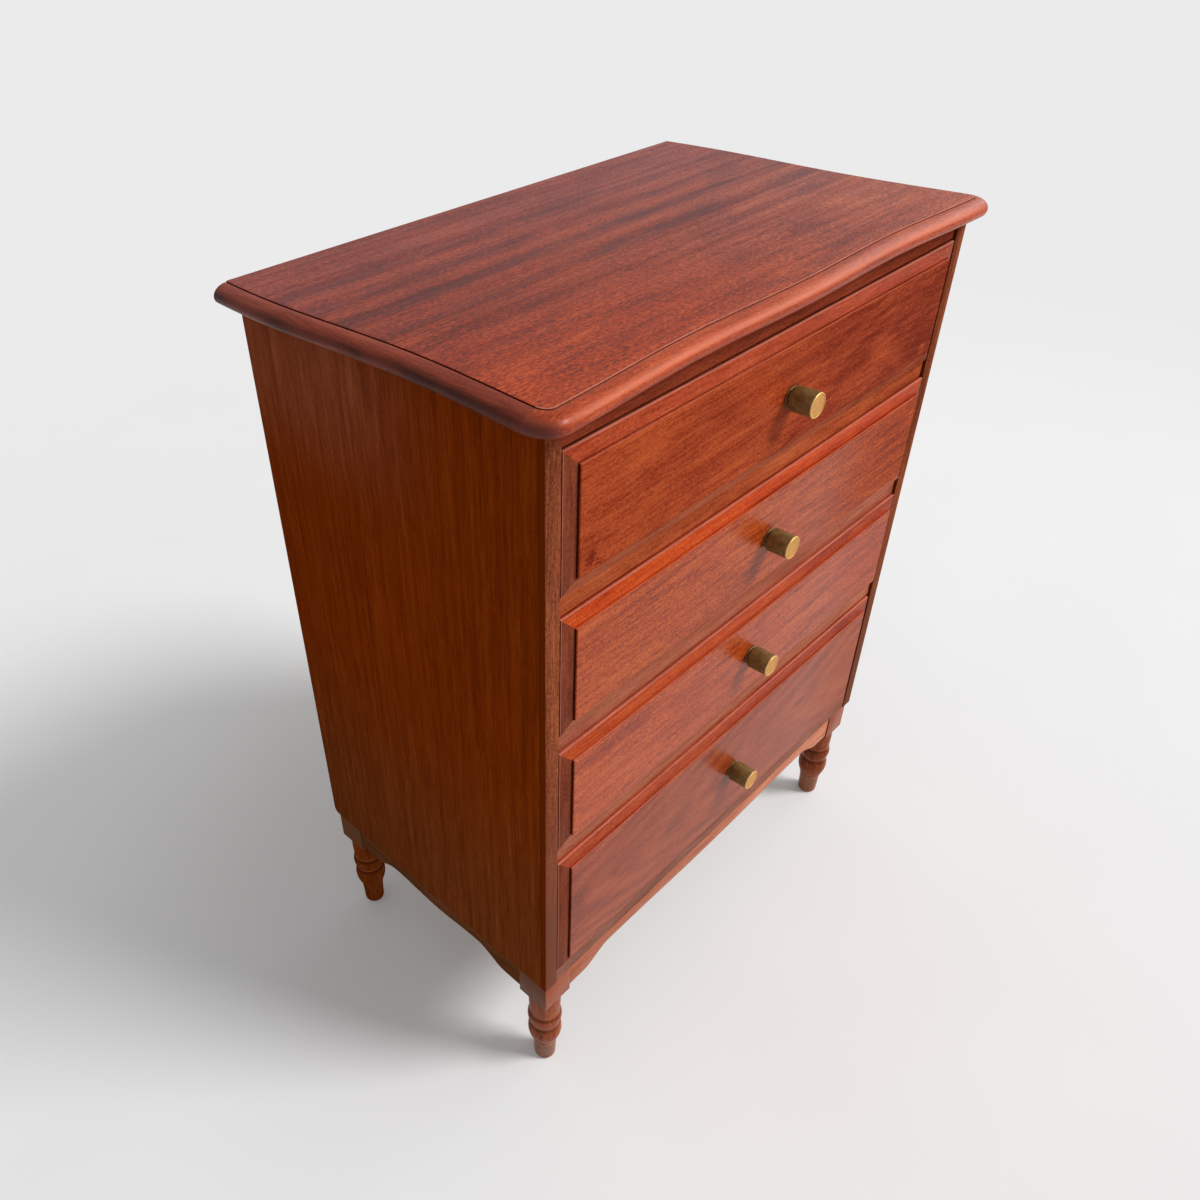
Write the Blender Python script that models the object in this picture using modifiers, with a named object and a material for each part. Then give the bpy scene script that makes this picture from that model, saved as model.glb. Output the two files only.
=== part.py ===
"""Tallboy: a four drawer mahogany chest with a moulded top, fielded drawer fronts and turned legs.

Units are metres. +Z is up and the drawers face -Y. The origin is on the floor, at the middle of
the overall box.
"""

import math

import bmesh
import bpy

# Clearances
FIT = 0.0003
REVEAL = 0.0010
RUN_CLEARANCE = 0.0020

# Carcass, and the height from the floor to the top
HEIGHT = 1.0116
CARCASS_WIDTH = 0.740
CARCASS_DEPTH = 0.433
SIDE_THICKNESS = 0.0205
PANEL_CORNER_RADIUS = 0.009
LIPPING_DEPTH = 0.008
RAIL_HEIGHT = 0.024
BOTTOM_RAIL_HEIGHT = 0.023
RAIL_DEPTH = 0.060
RAIL_SETBACK = 0.004
BOTTOM_RAIL_SETBACK = 0.0015
BACK_PANEL_THICKNESS = 0.004
BACK_PANEL_SETBACK = 0.006
BACK_RAIL_HEIGHT = 0.060
BACK_RAIL_THICKNESS = 0.018
RUNNER_WIDTH = 0.020
RUNNER_HEIGHT = 0.020
CLEAT_WIDTH = 0.018
CLEAT_HEIGHT = 0.022

# Top board
EDGE_THICKNESS = 0.0200
EDGE_UNDER_RADIUS = 0.0080
EDGE_WIDTH = 0.0175
FIELD_RISE = 0.0010
FRONT_OVERHANG = 0.0190
SIDE_OVERHANG = 0.0170
BACK_OVERHANG = 0.016
TOP_CORNER_RADIUS = 0.0275
FRONT_RIPPLE = 0.0024
CORNER_FLARE = 0.0046
SIDE_RIPPLE = 0.0045
SIDE_RIPPLE_LENGTH = 0.440
SIDE_RIPPLE_PEAK = 0.375

# Legs and aprons
LEG_SQUARE = 0.047
LEG_INSET = 0.004
LEG_BLOCK_HEIGHT = 0.053
NECK_HEIGHT = 0.042
NECK_RADIUS = 0.0206
SHOULDER_DROP = 0.007
SHOULDER_HEIGHT = 0.014
SHOULDER_RADIUS = 0.0218
BEAD_HEIGHT = 0.024
BEAD_RADIUS = 0.0233
GROOVE_HEIGHT = 0.003
GROOVE_RADIUS = 0.0203
BULB_HEIGHT = 0.043
BULB_RADIUS = 0.0230
BULB_CROWN = 0.016
TOE_HEIGHT = 0.040
TOE_RING_HEIGHT = 0.004
TOE_RING_RADIUS = 0.0167
TOE_TOP_RADIUS = 0.0160
TOE_FOOT_RADIUS = 0.0148
TOE_SOLE_RADIUS = 0.0112
TOE_ROUNDING = 0.005
APRON_THICKNESS = 0.018
APRON_SETBACK = 0.002
APRON_END_HEIGHT = 0.047
APRON_ARCH_HEIGHT = 0.0295
APRON_BELLY = 0.0055
BRACKET_FLAT = 0.028
BRACKET_CURVE = 0.052

# Drawers: equal ones above a deeper one
DRAWER_COUNT = 4
BOTTOM_DRAWER_EXTRA = 0.058
FRONT_EDGE_THICKNESS = 0.016
BORDER_WIDTH = 0.016
BORDER_SLOPE = 0.0037
FIELD_STEP = 0.0030
FIELD_STEP_WIDTH = 0.0006
BOX_SIDE_THICKNESS = 0.012
BOX_REAR_CLEARANCE = 0.0064
BOX_TOP_GAP = 0.012
BOX_BACK_DROP = 0.006
BOTTOM_THICKNESS = 0.004
BOTTOM_LIFT = 0.010
BOTTOM_GROOVE_DEPTH = 0.005

# Knobs and their screws
KNOB_RADIUS = 0.0141
KNOB_BODY_LENGTH = 0.0278
KNOB_NECK_RADIUS = 0.0105
KNOB_NECK_LENGTH = 0.0040
KNOB_CHAMFER = 0.0007
SCREW_RADIUS = 0.0020
SCREW_HEAD_RADIUS = 0.0042
SCREW_HEAD_TOP_RADIUS = 0.0029
SCREW_HEAD_HEIGHT = 0.0028
SCREW_BITE = 0.010
SCREW_HOLE_CLEARANCE = 0.0005

# Steps used for round shapes, and the distance that welds points
TURN_STEPS = 24
KNOB_STEPS = 32
SCREW_STEPS = 14
ARC_STEPS = 6
CROWN_STEPS = 3
SIDE_EDGE_STEPS = 10
FRONT_EDGE_STEPS = 20
EDGE_UNDER_STEPS = 3
EDGE_CROWN_STEPS = 5
WELD = 0.00005

# Places that follow from the sizes above
SIDE_INNER_X = CARCASS_WIDTH / 2 - SIDE_THICKNESS
FIELD_PROUD = BORDER_SLOPE + FIELD_STEP
KNOB_LENGTH = KNOB_NECK_LENGTH + KNOB_BODY_LENGTH
KNOB_REACH = FIELD_PROUD + FIT + KNOB_LENGTH
TOP_REACH = FRONT_OVERHANG + FRONT_RIPPLE
FRONT_REACH = max(KNOB_REACH, TOP_REACH)
FRONT_Y = FRONT_REACH - (FRONT_REACH + CARCASS_DEPTH + BACK_OVERHANG) / 2
BACK_Y = FRONT_Y + CARCASS_DEPTH
TURNED_HEIGHT = TOE_HEIGHT + BULB_HEIGHT + GROOVE_HEIGHT + BEAD_HEIGHT + NECK_HEIGHT
BASE_HEIGHT = TURNED_HEIGHT + LEG_BLOCK_HEIGHT
CARCASS_BOTTOM = BASE_HEIGHT + FIT
BOTTOM_RAIL_TOP = CARCASS_BOTTOM + BOTTOM_RAIL_HEIGHT
TOP_BOTTOM = HEIGHT - FIELD_RISE - EDGE_THICKNESS
CARCASS_TOP = TOP_BOTTOM - FIT
FRONTS_HEIGHT = CARCASS_TOP - BOTTOM_RAIL_TOP - DRAWER_COUNT * (RAIL_HEIGHT + 2 * REVEAL)
DRAWER_HEIGHT = (FRONTS_HEIGHT - BOTTOM_DRAWER_EXTRA) / DRAWER_COUNT
BOTTOM_DRAWER_HEIGHT = DRAWER_HEIGHT + BOTTOM_DRAWER_EXTRA
BACK_PANEL_REAR_Y = BACK_Y - BACK_PANEL_SETBACK
BACK_PANEL_FRONT_Y = BACK_PANEL_REAR_Y - BACK_PANEL_THICKNESS
BACK_RAIL_FRONT_Y = BACK_PANEL_FRONT_Y - FIT - BACK_RAIL_THICKNESS
RAIL_BACK_Y = FRONT_Y + RAIL_SETBACK + RAIL_DEPTH
BOX_FRONT_Y = FRONT_Y + FRONT_EDGE_THICKNESS + FIT
BOX_REAR_Y = BACK_RAIL_FRONT_Y - BOX_REAR_CLEARANCE
LEG_CENTRE_X = CARCASS_WIDTH / 2 - LEG_INSET - LEG_SQUARE / 2
LEG_FRONT_Y = FRONT_Y + LEG_INSET + LEG_SQUARE / 2
LEG_BACK_Y = BACK_Y - LEG_INSET - LEG_SQUARE / 2


def srgb(red, green, blue):
    """A linear colour from eight bit display values."""
    linear = []
    for value in (red, green, blue):
        share = value / 255
        linear.append(share / 12.92 if share <= 0.04045 else ((share + 0.055) / 1.055) ** 2.4)
    return (*linear, 1.0)


FINISHES = {
    "top_wood": (srgb(146, 70, 54), 0.35, 0.0),
    "side_wood": (srgb(96, 42, 18), 0.38, 0.0),
    "front_wood": (srgb(166, 82, 56), 0.35, 0.0),
    "frame_wood": (srgb(140, 76, 54), 0.40, 0.0),
    "leg_wood": (srgb(142, 70, 48), 0.38, 0.0),
    "box_wood": (srgb(196, 160, 118), 0.60, 0.0),
    "back_board": (srgb(150, 112, 78), 0.75, 0.0),
    "knob_brass": (srgb(176, 136, 78), 0.35, 1.0),
    "screw_steel": (srgb(170, 168, 164), 0.40, 1.0),
}


def clear_scene():
    """Take every object out of the scene."""
    for item in list(bpy.data.objects):
        bpy.data.objects.remove(item, do_unlink=True)


def new_collection(name):
    """A collection linked to the scene."""
    group = bpy.data.collections.new(name)
    bpy.context.scene.collection.children.link(group)
    return group


def new_material(name):
    """A Principled material with the named finish."""
    colour, roughness, metallic = FINISHES[name]
    material = bpy.data.materials.new(name)
    material.use_nodes = True
    shader = material.node_tree.nodes["Principled BSDF"]
    shader.inputs["Base Color"].default_value = colour
    shader.inputs["Roughness"].default_value = roughness
    shader.inputs["Metallic"].default_value = metallic
    return material


clear_scene()
PARTS = new_collection("tallboy")
CUTTERS = new_collection("cutters")


def add_part(name, mesh, finish, parent, place=(0, 0, 0), turn=(0, 0, 0)):
    """Put a mesh in the scene as a named part, at a world place, carried by a parent empty."""
    part = bpy.data.objects.new(name, mesh)
    PARTS.objects.link(part)
    part.parent = parent
    part.location = [place[axis] - parent.location[axis] for axis in range(3)]
    part.rotation_euler = turn
    mesh.materials.clear()
    mesh.materials.append(new_material(finish))
    return part


def add_anchor(name, place):
    """An empty that carries the pieces of one body."""
    anchor = bpy.data.objects.new(name, None)
    PARTS.objects.link(anchor)
    anchor.location = place
    return anchor


def hide_cutter(cutter):
    """Keep a cutter out of the finished object."""
    for group in list(cutter.users_collection):
        group.objects.unlink(cutter)
    CUTTERS.objects.link(cutter)
    cutter.hide_render = True
    cutter.display_type = "WIRE"


def add_boolean(part, other, operation):
    """Join or cut a part with a hidden helper."""
    step = part.modifiers.new(operation.lower(), "BOOLEAN")
    step.operation = operation
    step.solver = "EXACT"
    step.object = other
    hide_cutter(other)


def box_mesh(name, size):
    """A box mesh around its own centre."""
    mesh = bpy.data.meshes.new(name)
    shape = bmesh.new()
    bmesh.ops.create_cube(shape, size=1.0)
    bmesh.ops.scale(shape, vec=size, verts=shape.verts)
    shape.to_mesh(mesh)
    shape.free()
    return mesh


def add_box(name, low, high, finish, parent):
    """A box part between two corners."""
    size = [high[axis] - low[axis] for axis in range(3)]
    centre = [(high[axis] + low[axis]) / 2 for axis in range(3)]
    return add_part(name, box_mesh(name, size), finish, parent, centre)


def outline_mesh(name, points, half_thickness):
    """A flat closed outline, thickened both ways."""
    curve = bpy.data.curves.new(name, "CURVE")
    curve.dimensions = "2D"
    curve.fill_mode = "BOTH"
    curve.extrude = half_thickness
    spline = curve.splines.new("POLY")
    spline.points.add(len(points) - 1)
    for point, (across, up) in zip(spline.points, points):
        point.co = (across, up, 0, 1)
    spline.use_cyclic_u = True
    shown = bpy.data.objects.new(name, curve)
    CUTTERS.objects.link(shown)
    graph = bpy.context.evaluated_depsgraph_get()
    mesh = bpy.data.meshes.new_from_object(shown.evaluated_get(graph))
    bpy.data.objects.remove(shown, do_unlink=True)
    shape = bmesh.new()
    shape.from_mesh(mesh)
    bmesh.ops.remove_doubles(shape, verts=shape.verts, dist=WELD)
    bmesh.ops.recalc_face_normals(shape, faces=shape.faces)
    shape.to_mesh(mesh)
    shape.free()
    return mesh


def turned_mesh(name, profile):
    """A profile of (radius, height) pairs from top to bottom, as an open chain of edges."""
    mesh = bpy.data.meshes.new(name)
    shape = bmesh.new()
    chain = [shape.verts.new((radius, 0, height)) for radius, height in profile]
    for upper, lower in zip(chain, chain[1:]):
        shape.edges.new((upper, lower))
    shape.to_mesh(mesh)
    shape.free()
    return mesh


def add_screw(part, steps):
    """Turn a part's profile round its own Z axis."""
    turn = part.modifiers.new("turn", "SCREW")
    turn.steps = steps
    turn.render_steps = steps
    turn.use_merge_vertices = True
    turn.merge_threshold = WELD
    turn.use_smooth_shade = True


def arc(centre, radius, start, end):
    """Points on an arc, with angles in degrees."""
    points = []
    for step in range(ARC_STEPS + 1):
        angle = math.radians(start + (end - start) * step / ARC_STEPS)
        points.append((centre[0] + radius * math.cos(angle), centre[1] + radius * math.sin(angle)))
    return points


FACING_FRONT = (math.pi / 2, 0, 0)
FACING_SIDE = (math.pi / 2, 0, math.pi / 2)


# Top board

def front_swell(share):
    """How far the front edge stands out, at a share of the half width from the middle."""
    return FRONT_RIPPLE * math.cos(2 * math.pi * share) - CORNER_FLARE * (1 - share * share)


def side_swell(depth):
    """How far a side edge stands out, at a depth behind the carcass front."""
    return SIDE_RIPPLE * math.cos(2 * math.pi * (depth - SIDE_RIPPLE_PEAK) / SIDE_RIPPLE_LENGTH)


def top_outline(inset):
    """The top's plan, drawn in by an inset, from the back right round the front to the back left."""
    radius = TOP_CORNER_RADIUS - inset
    half = CARCASS_WIDTH / 2 + SIDE_OVERHANG - inset
    front = FRONT_Y - FRONT_OVERHANG + inset
    back = BACK_Y + BACK_OVERHANG
    corner_y = front + radius
    corner_x = half + side_swell(corner_y - FRONT_Y) - radius
    right = []
    for step in range(SIDE_EDGE_STEPS):
        y = back + (corner_y - back) * step / SIDE_EDGE_STEPS
        right.append((half + side_swell(y - FRONT_Y), y))
    reach = radius + front_swell(1)
    for across, along in arc((0, 0), 1, 0, -90)[:-1]:
        right.append((corner_x + radius * across, corner_y + reach * along))
    left = [(-x, y) for x, y in reversed(right)]
    middle = []
    for step in range(FRONT_EDGE_STEPS + 1):
        share = 1 - 2 * step / FRONT_EDGE_STEPS
        middle.append((corner_x * share, front - front_swell(share)))
    return right + middle + left


def top_profile():
    """The edge as (inset, height) pairs: a round under edge, an elliptical crown and the field's step."""
    profile = []
    for step in range(EDGE_UNDER_STEPS):
        angle = math.pi / 2 * step / EDGE_UNDER_STEPS
        profile.append((EDGE_UNDER_RADIUS * (1 - math.sin(angle)), EDGE_UNDER_RADIUS * (1 - math.cos(angle))))
    crown = EDGE_THICKNESS - EDGE_UNDER_RADIUS
    for step in range(EDGE_CROWN_STEPS + 1):
        angle = math.pi / 2 * step / EDGE_CROWN_STEPS
        profile.append((EDGE_WIDTH * (1 - math.cos(angle)), EDGE_UNDER_RADIUS + crown * math.sin(angle)))
    profile.append((EDGE_WIDTH, EDGE_THICKNESS + FIELD_RISE))
    return profile


def build_top(parent):
    """The moulded board: its edge profile led round the plan, and a straight back."""
    mesh = bpy.data.meshes.new("top_board")
    shape = bmesh.new()
    rings = []
    for inset, height in top_profile():
        rings.append([shape.verts.new((x, y, height)) for x, y in top_outline(inset)])
    for lower, upper in zip(rings, rings[1:]):
        for step in range(len(lower) - 1):
            shape.faces.new((lower[step], lower[step + 1], upper[step + 1], upper[step]))
    shape.faces.new(rings[0])
    shape.faces.new(rings[-1])
    shape.faces.new([ring[0] for ring in rings] + [ring[-1] for ring in reversed(rings)])
    bmesh.ops.recalc_face_normals(shape, faces=shape.faces)
    shape.to_mesh(mesh)
    shape.free()
    add_part("top_board", mesh, "top_wood", parent, (0, 0, TOP_BOTTOM))


# Carcass

def build_sides(parent):
    """The two side panels, each with a rounded lower rear corner, and their front lippings."""
    panel_front = FRONT_Y + LIPPING_DEPTH + FIT
    radius = PANEL_CORNER_RADIUS
    outline = [(panel_front, CARCASS_BOTTOM)]
    outline += arc((BACK_Y - radius, CARCASS_BOTTOM + radius), radius, -90, 0)
    outline += [(BACK_Y, CARCASS_TOP), (panel_front, CARCASS_TOP)]
    for name, side in (("left", -1), ("right", 1)):
        middle_x = side * (CARCASS_WIDTH / 2 - SIDE_THICKNESS / 2)
        panel_name = name + "_side_panel"
        mesh = outline_mesh(panel_name, outline, SIDE_THICKNESS / 2)
        add_part(panel_name, mesh, "side_wood", parent, (middle_x, 0, 0), FACING_SIDE)
        low = (middle_x - SIDE_THICKNESS / 2, FRONT_Y, CARCASS_BOTTOM)
        high = (middle_x + SIDE_THICKNESS / 2, FRONT_Y + LIPPING_DEPTH, CARCASS_TOP)
        add_box(name + "_lipping", low, high, "frame_wood", parent)


def build_back(parent):
    """The back panel and the two rails that hold it."""
    reach = SIDE_INNER_X - FIT
    low = (-reach, BACK_PANEL_FRONT_Y, CARCASS_BOTTOM)
    high = (reach, BACK_PANEL_REAR_Y, CARCASS_TOP)
    add_box("back_panel", low, high, "back_board", parent)
    rail_back = BACK_PANEL_FRONT_Y - FIT
    low = (-reach, BACK_RAIL_FRONT_Y, CARCASS_TOP - BACK_RAIL_HEIGHT)
    add_box("upper_back_rail", low, (reach, rail_back, CARCASS_TOP), "box_wood", parent)
    high = (reach, rail_back, CARCASS_BOTTOM + BACK_RAIL_HEIGHT)
    low = (-reach, BACK_RAIL_FRONT_Y, CARCASS_BOTTOM)
    add_box("lower_back_rail", low, high, "box_wood", parent)


def build_cleats(parent):
    """The strips inside the side panels that carry the top board."""
    for name, side in (("left", -1), ("right", 1)):
        near = side * (SIDE_INNER_X - FIT)
        far = near - side * CLEAT_WIDTH
        low = (min(near, far), RAIL_BACK_Y + FIT, CARCASS_TOP - CLEAT_HEIGHT)
        high = (max(near, far), BACK_RAIL_FRONT_Y - FIT, CARCASS_TOP)
        add_box(name + "_top_cleat", low, high, "box_wood", parent)


def build_rail(name, bottom, height, setback, parent):
    """A front rail between the side panels."""
    reach = SIDE_INNER_X - FIT
    low = (-reach, FRONT_Y + setback, bottom)
    add_box(name, low, (reach, RAIL_BACK_Y, bottom + height), "frame_wood", parent)


def build_runners(number, rail_top, parent):
    """The two strips that a drawer slides on."""
    top = rail_top + REVEAL - FIT
    for name, side in (("left", -1), ("right", 1)):
        near = side * (SIDE_INNER_X - FIT)
        far = near - side * RUNNER_WIDTH
        low = (min(near, far), RAIL_BACK_Y + FIT, top - RUNNER_HEIGHT)
        high = (max(near, far), BACK_RAIL_FRONT_Y - FIT, top)
        add_box(f"{name}_runner_{number}", low, high, "box_wood", parent)


# Legs and aprons

def leg_profile():
    """The turned part of a leg, as (radius, height) pairs from top to bottom."""
    bead_top = TURNED_HEIGHT - NECK_HEIGHT
    groove_top = bead_top - BEAD_HEIGHT
    bulb_top = groove_top - GROOVE_HEIGHT
    bulb_middle = bulb_top - BULB_CROWN
    fall = bulb_middle - TOE_HEIGHT
    profile = [(0, TURNED_HEIGHT + LEG_BLOCK_HEIGHT / 2)]
    profile.append((NECK_RADIUS, TURNED_HEIGHT + LEG_BLOCK_HEIGHT / 2))
    profile.append((NECK_RADIUS, TURNED_HEIGHT))
    profile.append((SHOULDER_RADIUS, TURNED_HEIGHT - SHOULDER_DROP))
    profile.append((SHOULDER_RADIUS, TURNED_HEIGHT - SHOULDER_DROP - SHOULDER_HEIGHT))
    profile.append((NECK_RADIUS, bead_top))
    for step in range(1, ARC_STEPS):
        share = step / ARC_STEPS
        swell = (BEAD_RADIUS - NECK_RADIUS) * math.sin(math.pi * share)
        profile.append((NECK_RADIUS + swell, bead_top - BEAD_HEIGHT * share))
    profile.append((GROOVE_RADIUS, groove_top))
    profile.append((GROOVE_RADIUS, bulb_top))
    for step in range(1, CROWN_STEPS + 1):
        share = step / CROWN_STEPS
        swell = (BULB_RADIUS - GROOVE_RADIUS) * math.sin(math.pi / 2 * share)
        profile.append((GROOVE_RADIUS + swell, bulb_top - BULB_CROWN * share))
    for step in range(1, ARC_STEPS + 1):
        share = step / ARC_STEPS
        swell = (BULB_RADIUS - TOE_TOP_RADIUS) * math.cos(math.pi / 2 * share)
        profile.append((TOE_TOP_RADIUS + swell, bulb_middle - fall * share))
    profile.append((TOE_RING_RADIUS, TOE_HEIGHT - TOE_RING_HEIGHT / 2))
    profile.append((TOE_TOP_RADIUS, TOE_HEIGHT - TOE_RING_HEIGHT))
    profile.append((TOE_FOOT_RADIUS, TOE_ROUNDING))
    middle_radius = TOE_SOLE_RADIUS + (TOE_FOOT_RADIUS - TOE_SOLE_RADIUS) * math.sin(math.pi / 4)
    profile.append((middle_radius, TOE_ROUNDING * (1 - math.cos(math.pi / 4))))
    profile.append((TOE_SOLE_RADIUS, 0))
    profile.append((0, 0))
    return profile


def build_legs(parent):
    """Four legs, each a square block joined to a turned foot."""
    block_size = (LEG_SQUARE, LEG_SQUARE, LEG_BLOCK_HEIGHT)
    for row, y in (("front", LEG_FRONT_Y), ("back", LEG_BACK_Y)):
        for name, side in (("left", -1), ("right", 1)):
            leg_name = f"{row}_{name}_leg"
            place = (side * LEG_CENTRE_X, y, 0)
            foot = turned_mesh(leg_name, leg_profile())
            leg = add_part(leg_name, foot, "leg_wood", parent, place)
            add_screw(leg, TURN_STEPS)
            block_name = leg_name + "_block"
            block_place = (place[0], y, TURNED_HEIGHT + LEG_BLOCK_HEIGHT / 2)
            block_mesh = box_mesh(block_name, block_size)
            block = add_part(block_name, block_mesh, "leg_wood", parent, block_place)
            add_boolean(leg, block, "UNION")


def apron_outline(start, end):
    """A board with bracket ends: low beside each leg, an S up to an arch, and a belly in the middle."""
    low = BASE_HEIGHT - APRON_END_HEIGHT
    arch = BASE_HEIGHT - APRON_ARCH_HEIGHT
    steps = 2 * ARC_STEPS
    outline = [(start, low)]
    for step in range(steps + 1):
        share = step / steps
        height = low + (arch - low) * (1 - math.cos(math.pi * share)) / 2
        outline.append((start + BRACKET_FLAT + BRACKET_CURVE * share, height))
    belly_start = start + BRACKET_FLAT + BRACKET_CURVE
    half_span = (start + end) / 2 - belly_start
    for step in range(1, steps + 1):
        share = step / steps
        height = arch - APRON_BELLY * (1 - math.cos(math.pi * share)) / 2
        outline.append((belly_start + half_span * share, height))
    outline += [(start + end - along, height) for along, height in reversed(outline[:-1])]
    return outline + [(end, BASE_HEIGHT), (start, BASE_HEIGHT)]


def build_aprons(parent):
    """The four boards between the legs: brackets on the front and sides, plain at the back."""
    reach = LEG_CENTRE_X - LEG_SQUARE / 2 - FIT
    inset = LEG_INSET + APRON_SETBACK + APRON_THICKNESS / 2
    front = outline_mesh("front_apron", apron_outline(-reach, reach), APRON_THICKNESS / 2)
    place = (0, FRONT_Y + inset, 0)
    add_part("front_apron", front, "front_wood", parent, place, FACING_FRONT)
    first = LEG_FRONT_Y + LEG_SQUARE / 2 + FIT
    last = LEG_BACK_Y - LEG_SQUARE / 2 - FIT
    for name, side in (("left", -1), ("right", 1)):
        mesh = outline_mesh(name + "_apron", apron_outline(first, last), APRON_THICKNESS / 2)
        place = (side * (CARCASS_WIDTH / 2 - inset), 0, 0)
        add_part(name + "_apron", mesh, "side_wood", parent, place, FACING_SIDE)
    low = (-reach, BACK_Y - inset - APRON_THICKNESS / 2, BASE_HEIGHT - APRON_ARCH_HEIGHT)
    high = (reach, BACK_Y - inset + APRON_THICKNESS / 2, BASE_HEIGHT)
    add_box("back_apron", low, high, "box_wood", parent)


# Drawers

def front_mesh(name, width, height):
    """A drawer front: sloping borders and a stepped, raised field on its -Y face."""
    mesh = box_mesh(name, (width, FRONT_EDGE_THICKNESS, height))
    shape = bmesh.new()
    shape.from_mesh(mesh)
    shape.normal_update()
    face = min(shape.faces, key=lambda item: item.normal.y)
    bmesh.ops.inset_individual(shape, faces=[face], thickness=BORDER_WIDTH, depth=BORDER_SLOPE)
    bmesh.ops.inset_individual(shape, faces=[face], thickness=FIELD_STEP_WIDTH, depth=FIELD_STEP)
    shape.to_mesh(mesh)
    shape.free()
    return mesh


def side_outline(height, side):
    """A drawer side seen from the front, with the groove for the bottom on its inner face."""
    outer = 0.0
    inner = -side * BOX_SIDE_THICKNESS
    groove = -side * (BOX_SIDE_THICKNESS - BOTTOM_GROOVE_DEPTH)
    groove_low = BOTTOM_LIFT
    groove_high = BOTTOM_LIFT + BOTTOM_THICKNESS + 2 * FIT
    outline = [(outer, 0), (inner, 0), (inner, groove_low), (groove, groove_low)]
    outline += [(groove, groove_high), (inner, groove_high), (inner, height), (outer, height)]
    return outline


def build_box(label, bottom, height, parent):
    """The box behind a drawer front: two grooved sides, a back and a bottom."""
    outer_x = SIDE_INNER_X - RUN_CLEARANCE
    inner_x = outer_x - BOX_SIDE_THICKNESS
    side_height = height - BOX_TOP_GAP
    for name, side in (("left", -1), ("right", 1)):
        side_name = f"{label}_{name}_side"
        half_depth = (BOX_REAR_Y - BOX_FRONT_Y) / 2
        mesh = outline_mesh(side_name, side_outline(side_height, side), half_depth)
        place = (side * outer_x, BOX_FRONT_Y + half_depth, bottom)
        add_part(side_name, mesh, "box_wood", parent, place, FACING_FRONT)
    panel_low = bottom + BOTTOM_LIFT + FIT
    panel_high = panel_low + BOTTOM_THICKNESS
    panel_x = inner_x + BOTTOM_GROOVE_DEPTH - FIT
    low = (-panel_x, BOX_FRONT_Y, panel_low)
    add_box(label + "_bottom", low, (panel_x, BOX_REAR_Y, panel_high), "back_board", parent)
    low = (-inner_x + FIT, BOX_REAR_Y - BOX_SIDE_THICKNESS, panel_high + FIT)
    high = (inner_x - FIT, BOX_REAR_Y, bottom + side_height - BOX_BACK_DROP)
    add_box(label + "_back", low, high, "box_wood", parent)


def knob_profile():
    """The knob with its blind screw hole, from the face down to its base."""
    bore = SCREW_RADIUS + FIT
    depth = SCREW_BITE + FIT
    return [
        (0, KNOB_LENGTH),
        (KNOB_RADIUS - KNOB_CHAMFER, KNOB_LENGTH),
        (KNOB_RADIUS, KNOB_LENGTH - KNOB_CHAMFER),
        (KNOB_RADIUS, KNOB_NECK_LENGTH + KNOB_CHAMFER),
        (KNOB_RADIUS - KNOB_CHAMFER, KNOB_NECK_LENGTH),
        (KNOB_NECK_RADIUS, KNOB_NECK_LENGTH),
        (KNOB_NECK_RADIUS, 0),
        (bore, 0),
        (bore, depth),
        (0, depth),
    ]


def screw_profile(grip):
    """A pan head machine screw: the shank points up, and the head's seat is at height 0."""
    return [
        (0, grip),
        (SCREW_RADIUS, grip),
        (SCREW_RADIUS, 0),
        (SCREW_HEAD_RADIUS, 0),
        (SCREW_HEAD_RADIUS, -SCREW_HEAD_HEIGHT / 2),
        (SCREW_HEAD_TOP_RADIUS, -SCREW_HEAD_HEIGHT),
        (0, -SCREW_HEAD_HEIGHT),
    ]


def build_drawer(number, bottom, height, parent):
    """One drawer: its front, box, knob and knob screw, on a slide that runs along Y."""
    label = f"drawer_{number}"
    middle_z = bottom + height / 2
    anchor = add_anchor(label + "_slide", (0, FRONT_Y, middle_z))
    anchor.parent = parent
    width = 2 * (SIDE_INNER_X - REVEAL)
    front_name = label + "_front"
    front_place = (0, FRONT_Y + FRONT_EDGE_THICKNESS / 2, middle_z)
    front = add_part(front_name, front_mesh(front_name, width, height), "front_wood", anchor, front_place)
    hole_name = label + "_screw_hole"
    hole_depth = 2 * (FRONT_EDGE_THICKNESS + FIELD_PROUD)
    hole_profile = [(0, hole_depth / 2)]
    hole_profile.append((SCREW_RADIUS + SCREW_HOLE_CLEARANCE, hole_depth / 2))
    hole_profile.append((SCREW_RADIUS + SCREW_HOLE_CLEARANCE, -hole_depth / 2))
    hole_profile.append((0, -hole_depth / 2))
    hole_mesh = turned_mesh(hole_name, hole_profile)
    hole = add_part(hole_name, hole_mesh, "front_wood", anchor, front_place, FACING_FRONT)
    add_screw(hole, SCREW_STEPS)
    add_boolean(front, hole, "DIFFERENCE")
    build_box(label, bottom, height, anchor)
    knob_name = label + "_knob"
    knob_place = (0, FRONT_Y - FIELD_PROUD - FIT, middle_z)
    knob_mesh = turned_mesh(knob_name, knob_profile())
    knob = add_part(knob_name, knob_mesh, "knob_brass", anchor, knob_place, FACING_FRONT)
    add_screw(knob, KNOB_STEPS)
    screw_name = label + "_knob_screw"
    grip = FRONT_EDGE_THICKNESS + FIELD_PROUD + 2 * FIT + SCREW_BITE
    screw_place = (0, BOX_FRONT_Y, middle_z)
    screw_mesh = turned_mesh(screw_name, screw_profile(grip))
    screw = add_part(screw_name, screw_mesh, "screw_steel", anchor, screw_place, FACING_FRONT)
    add_screw(screw, SCREW_STEPS)


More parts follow.
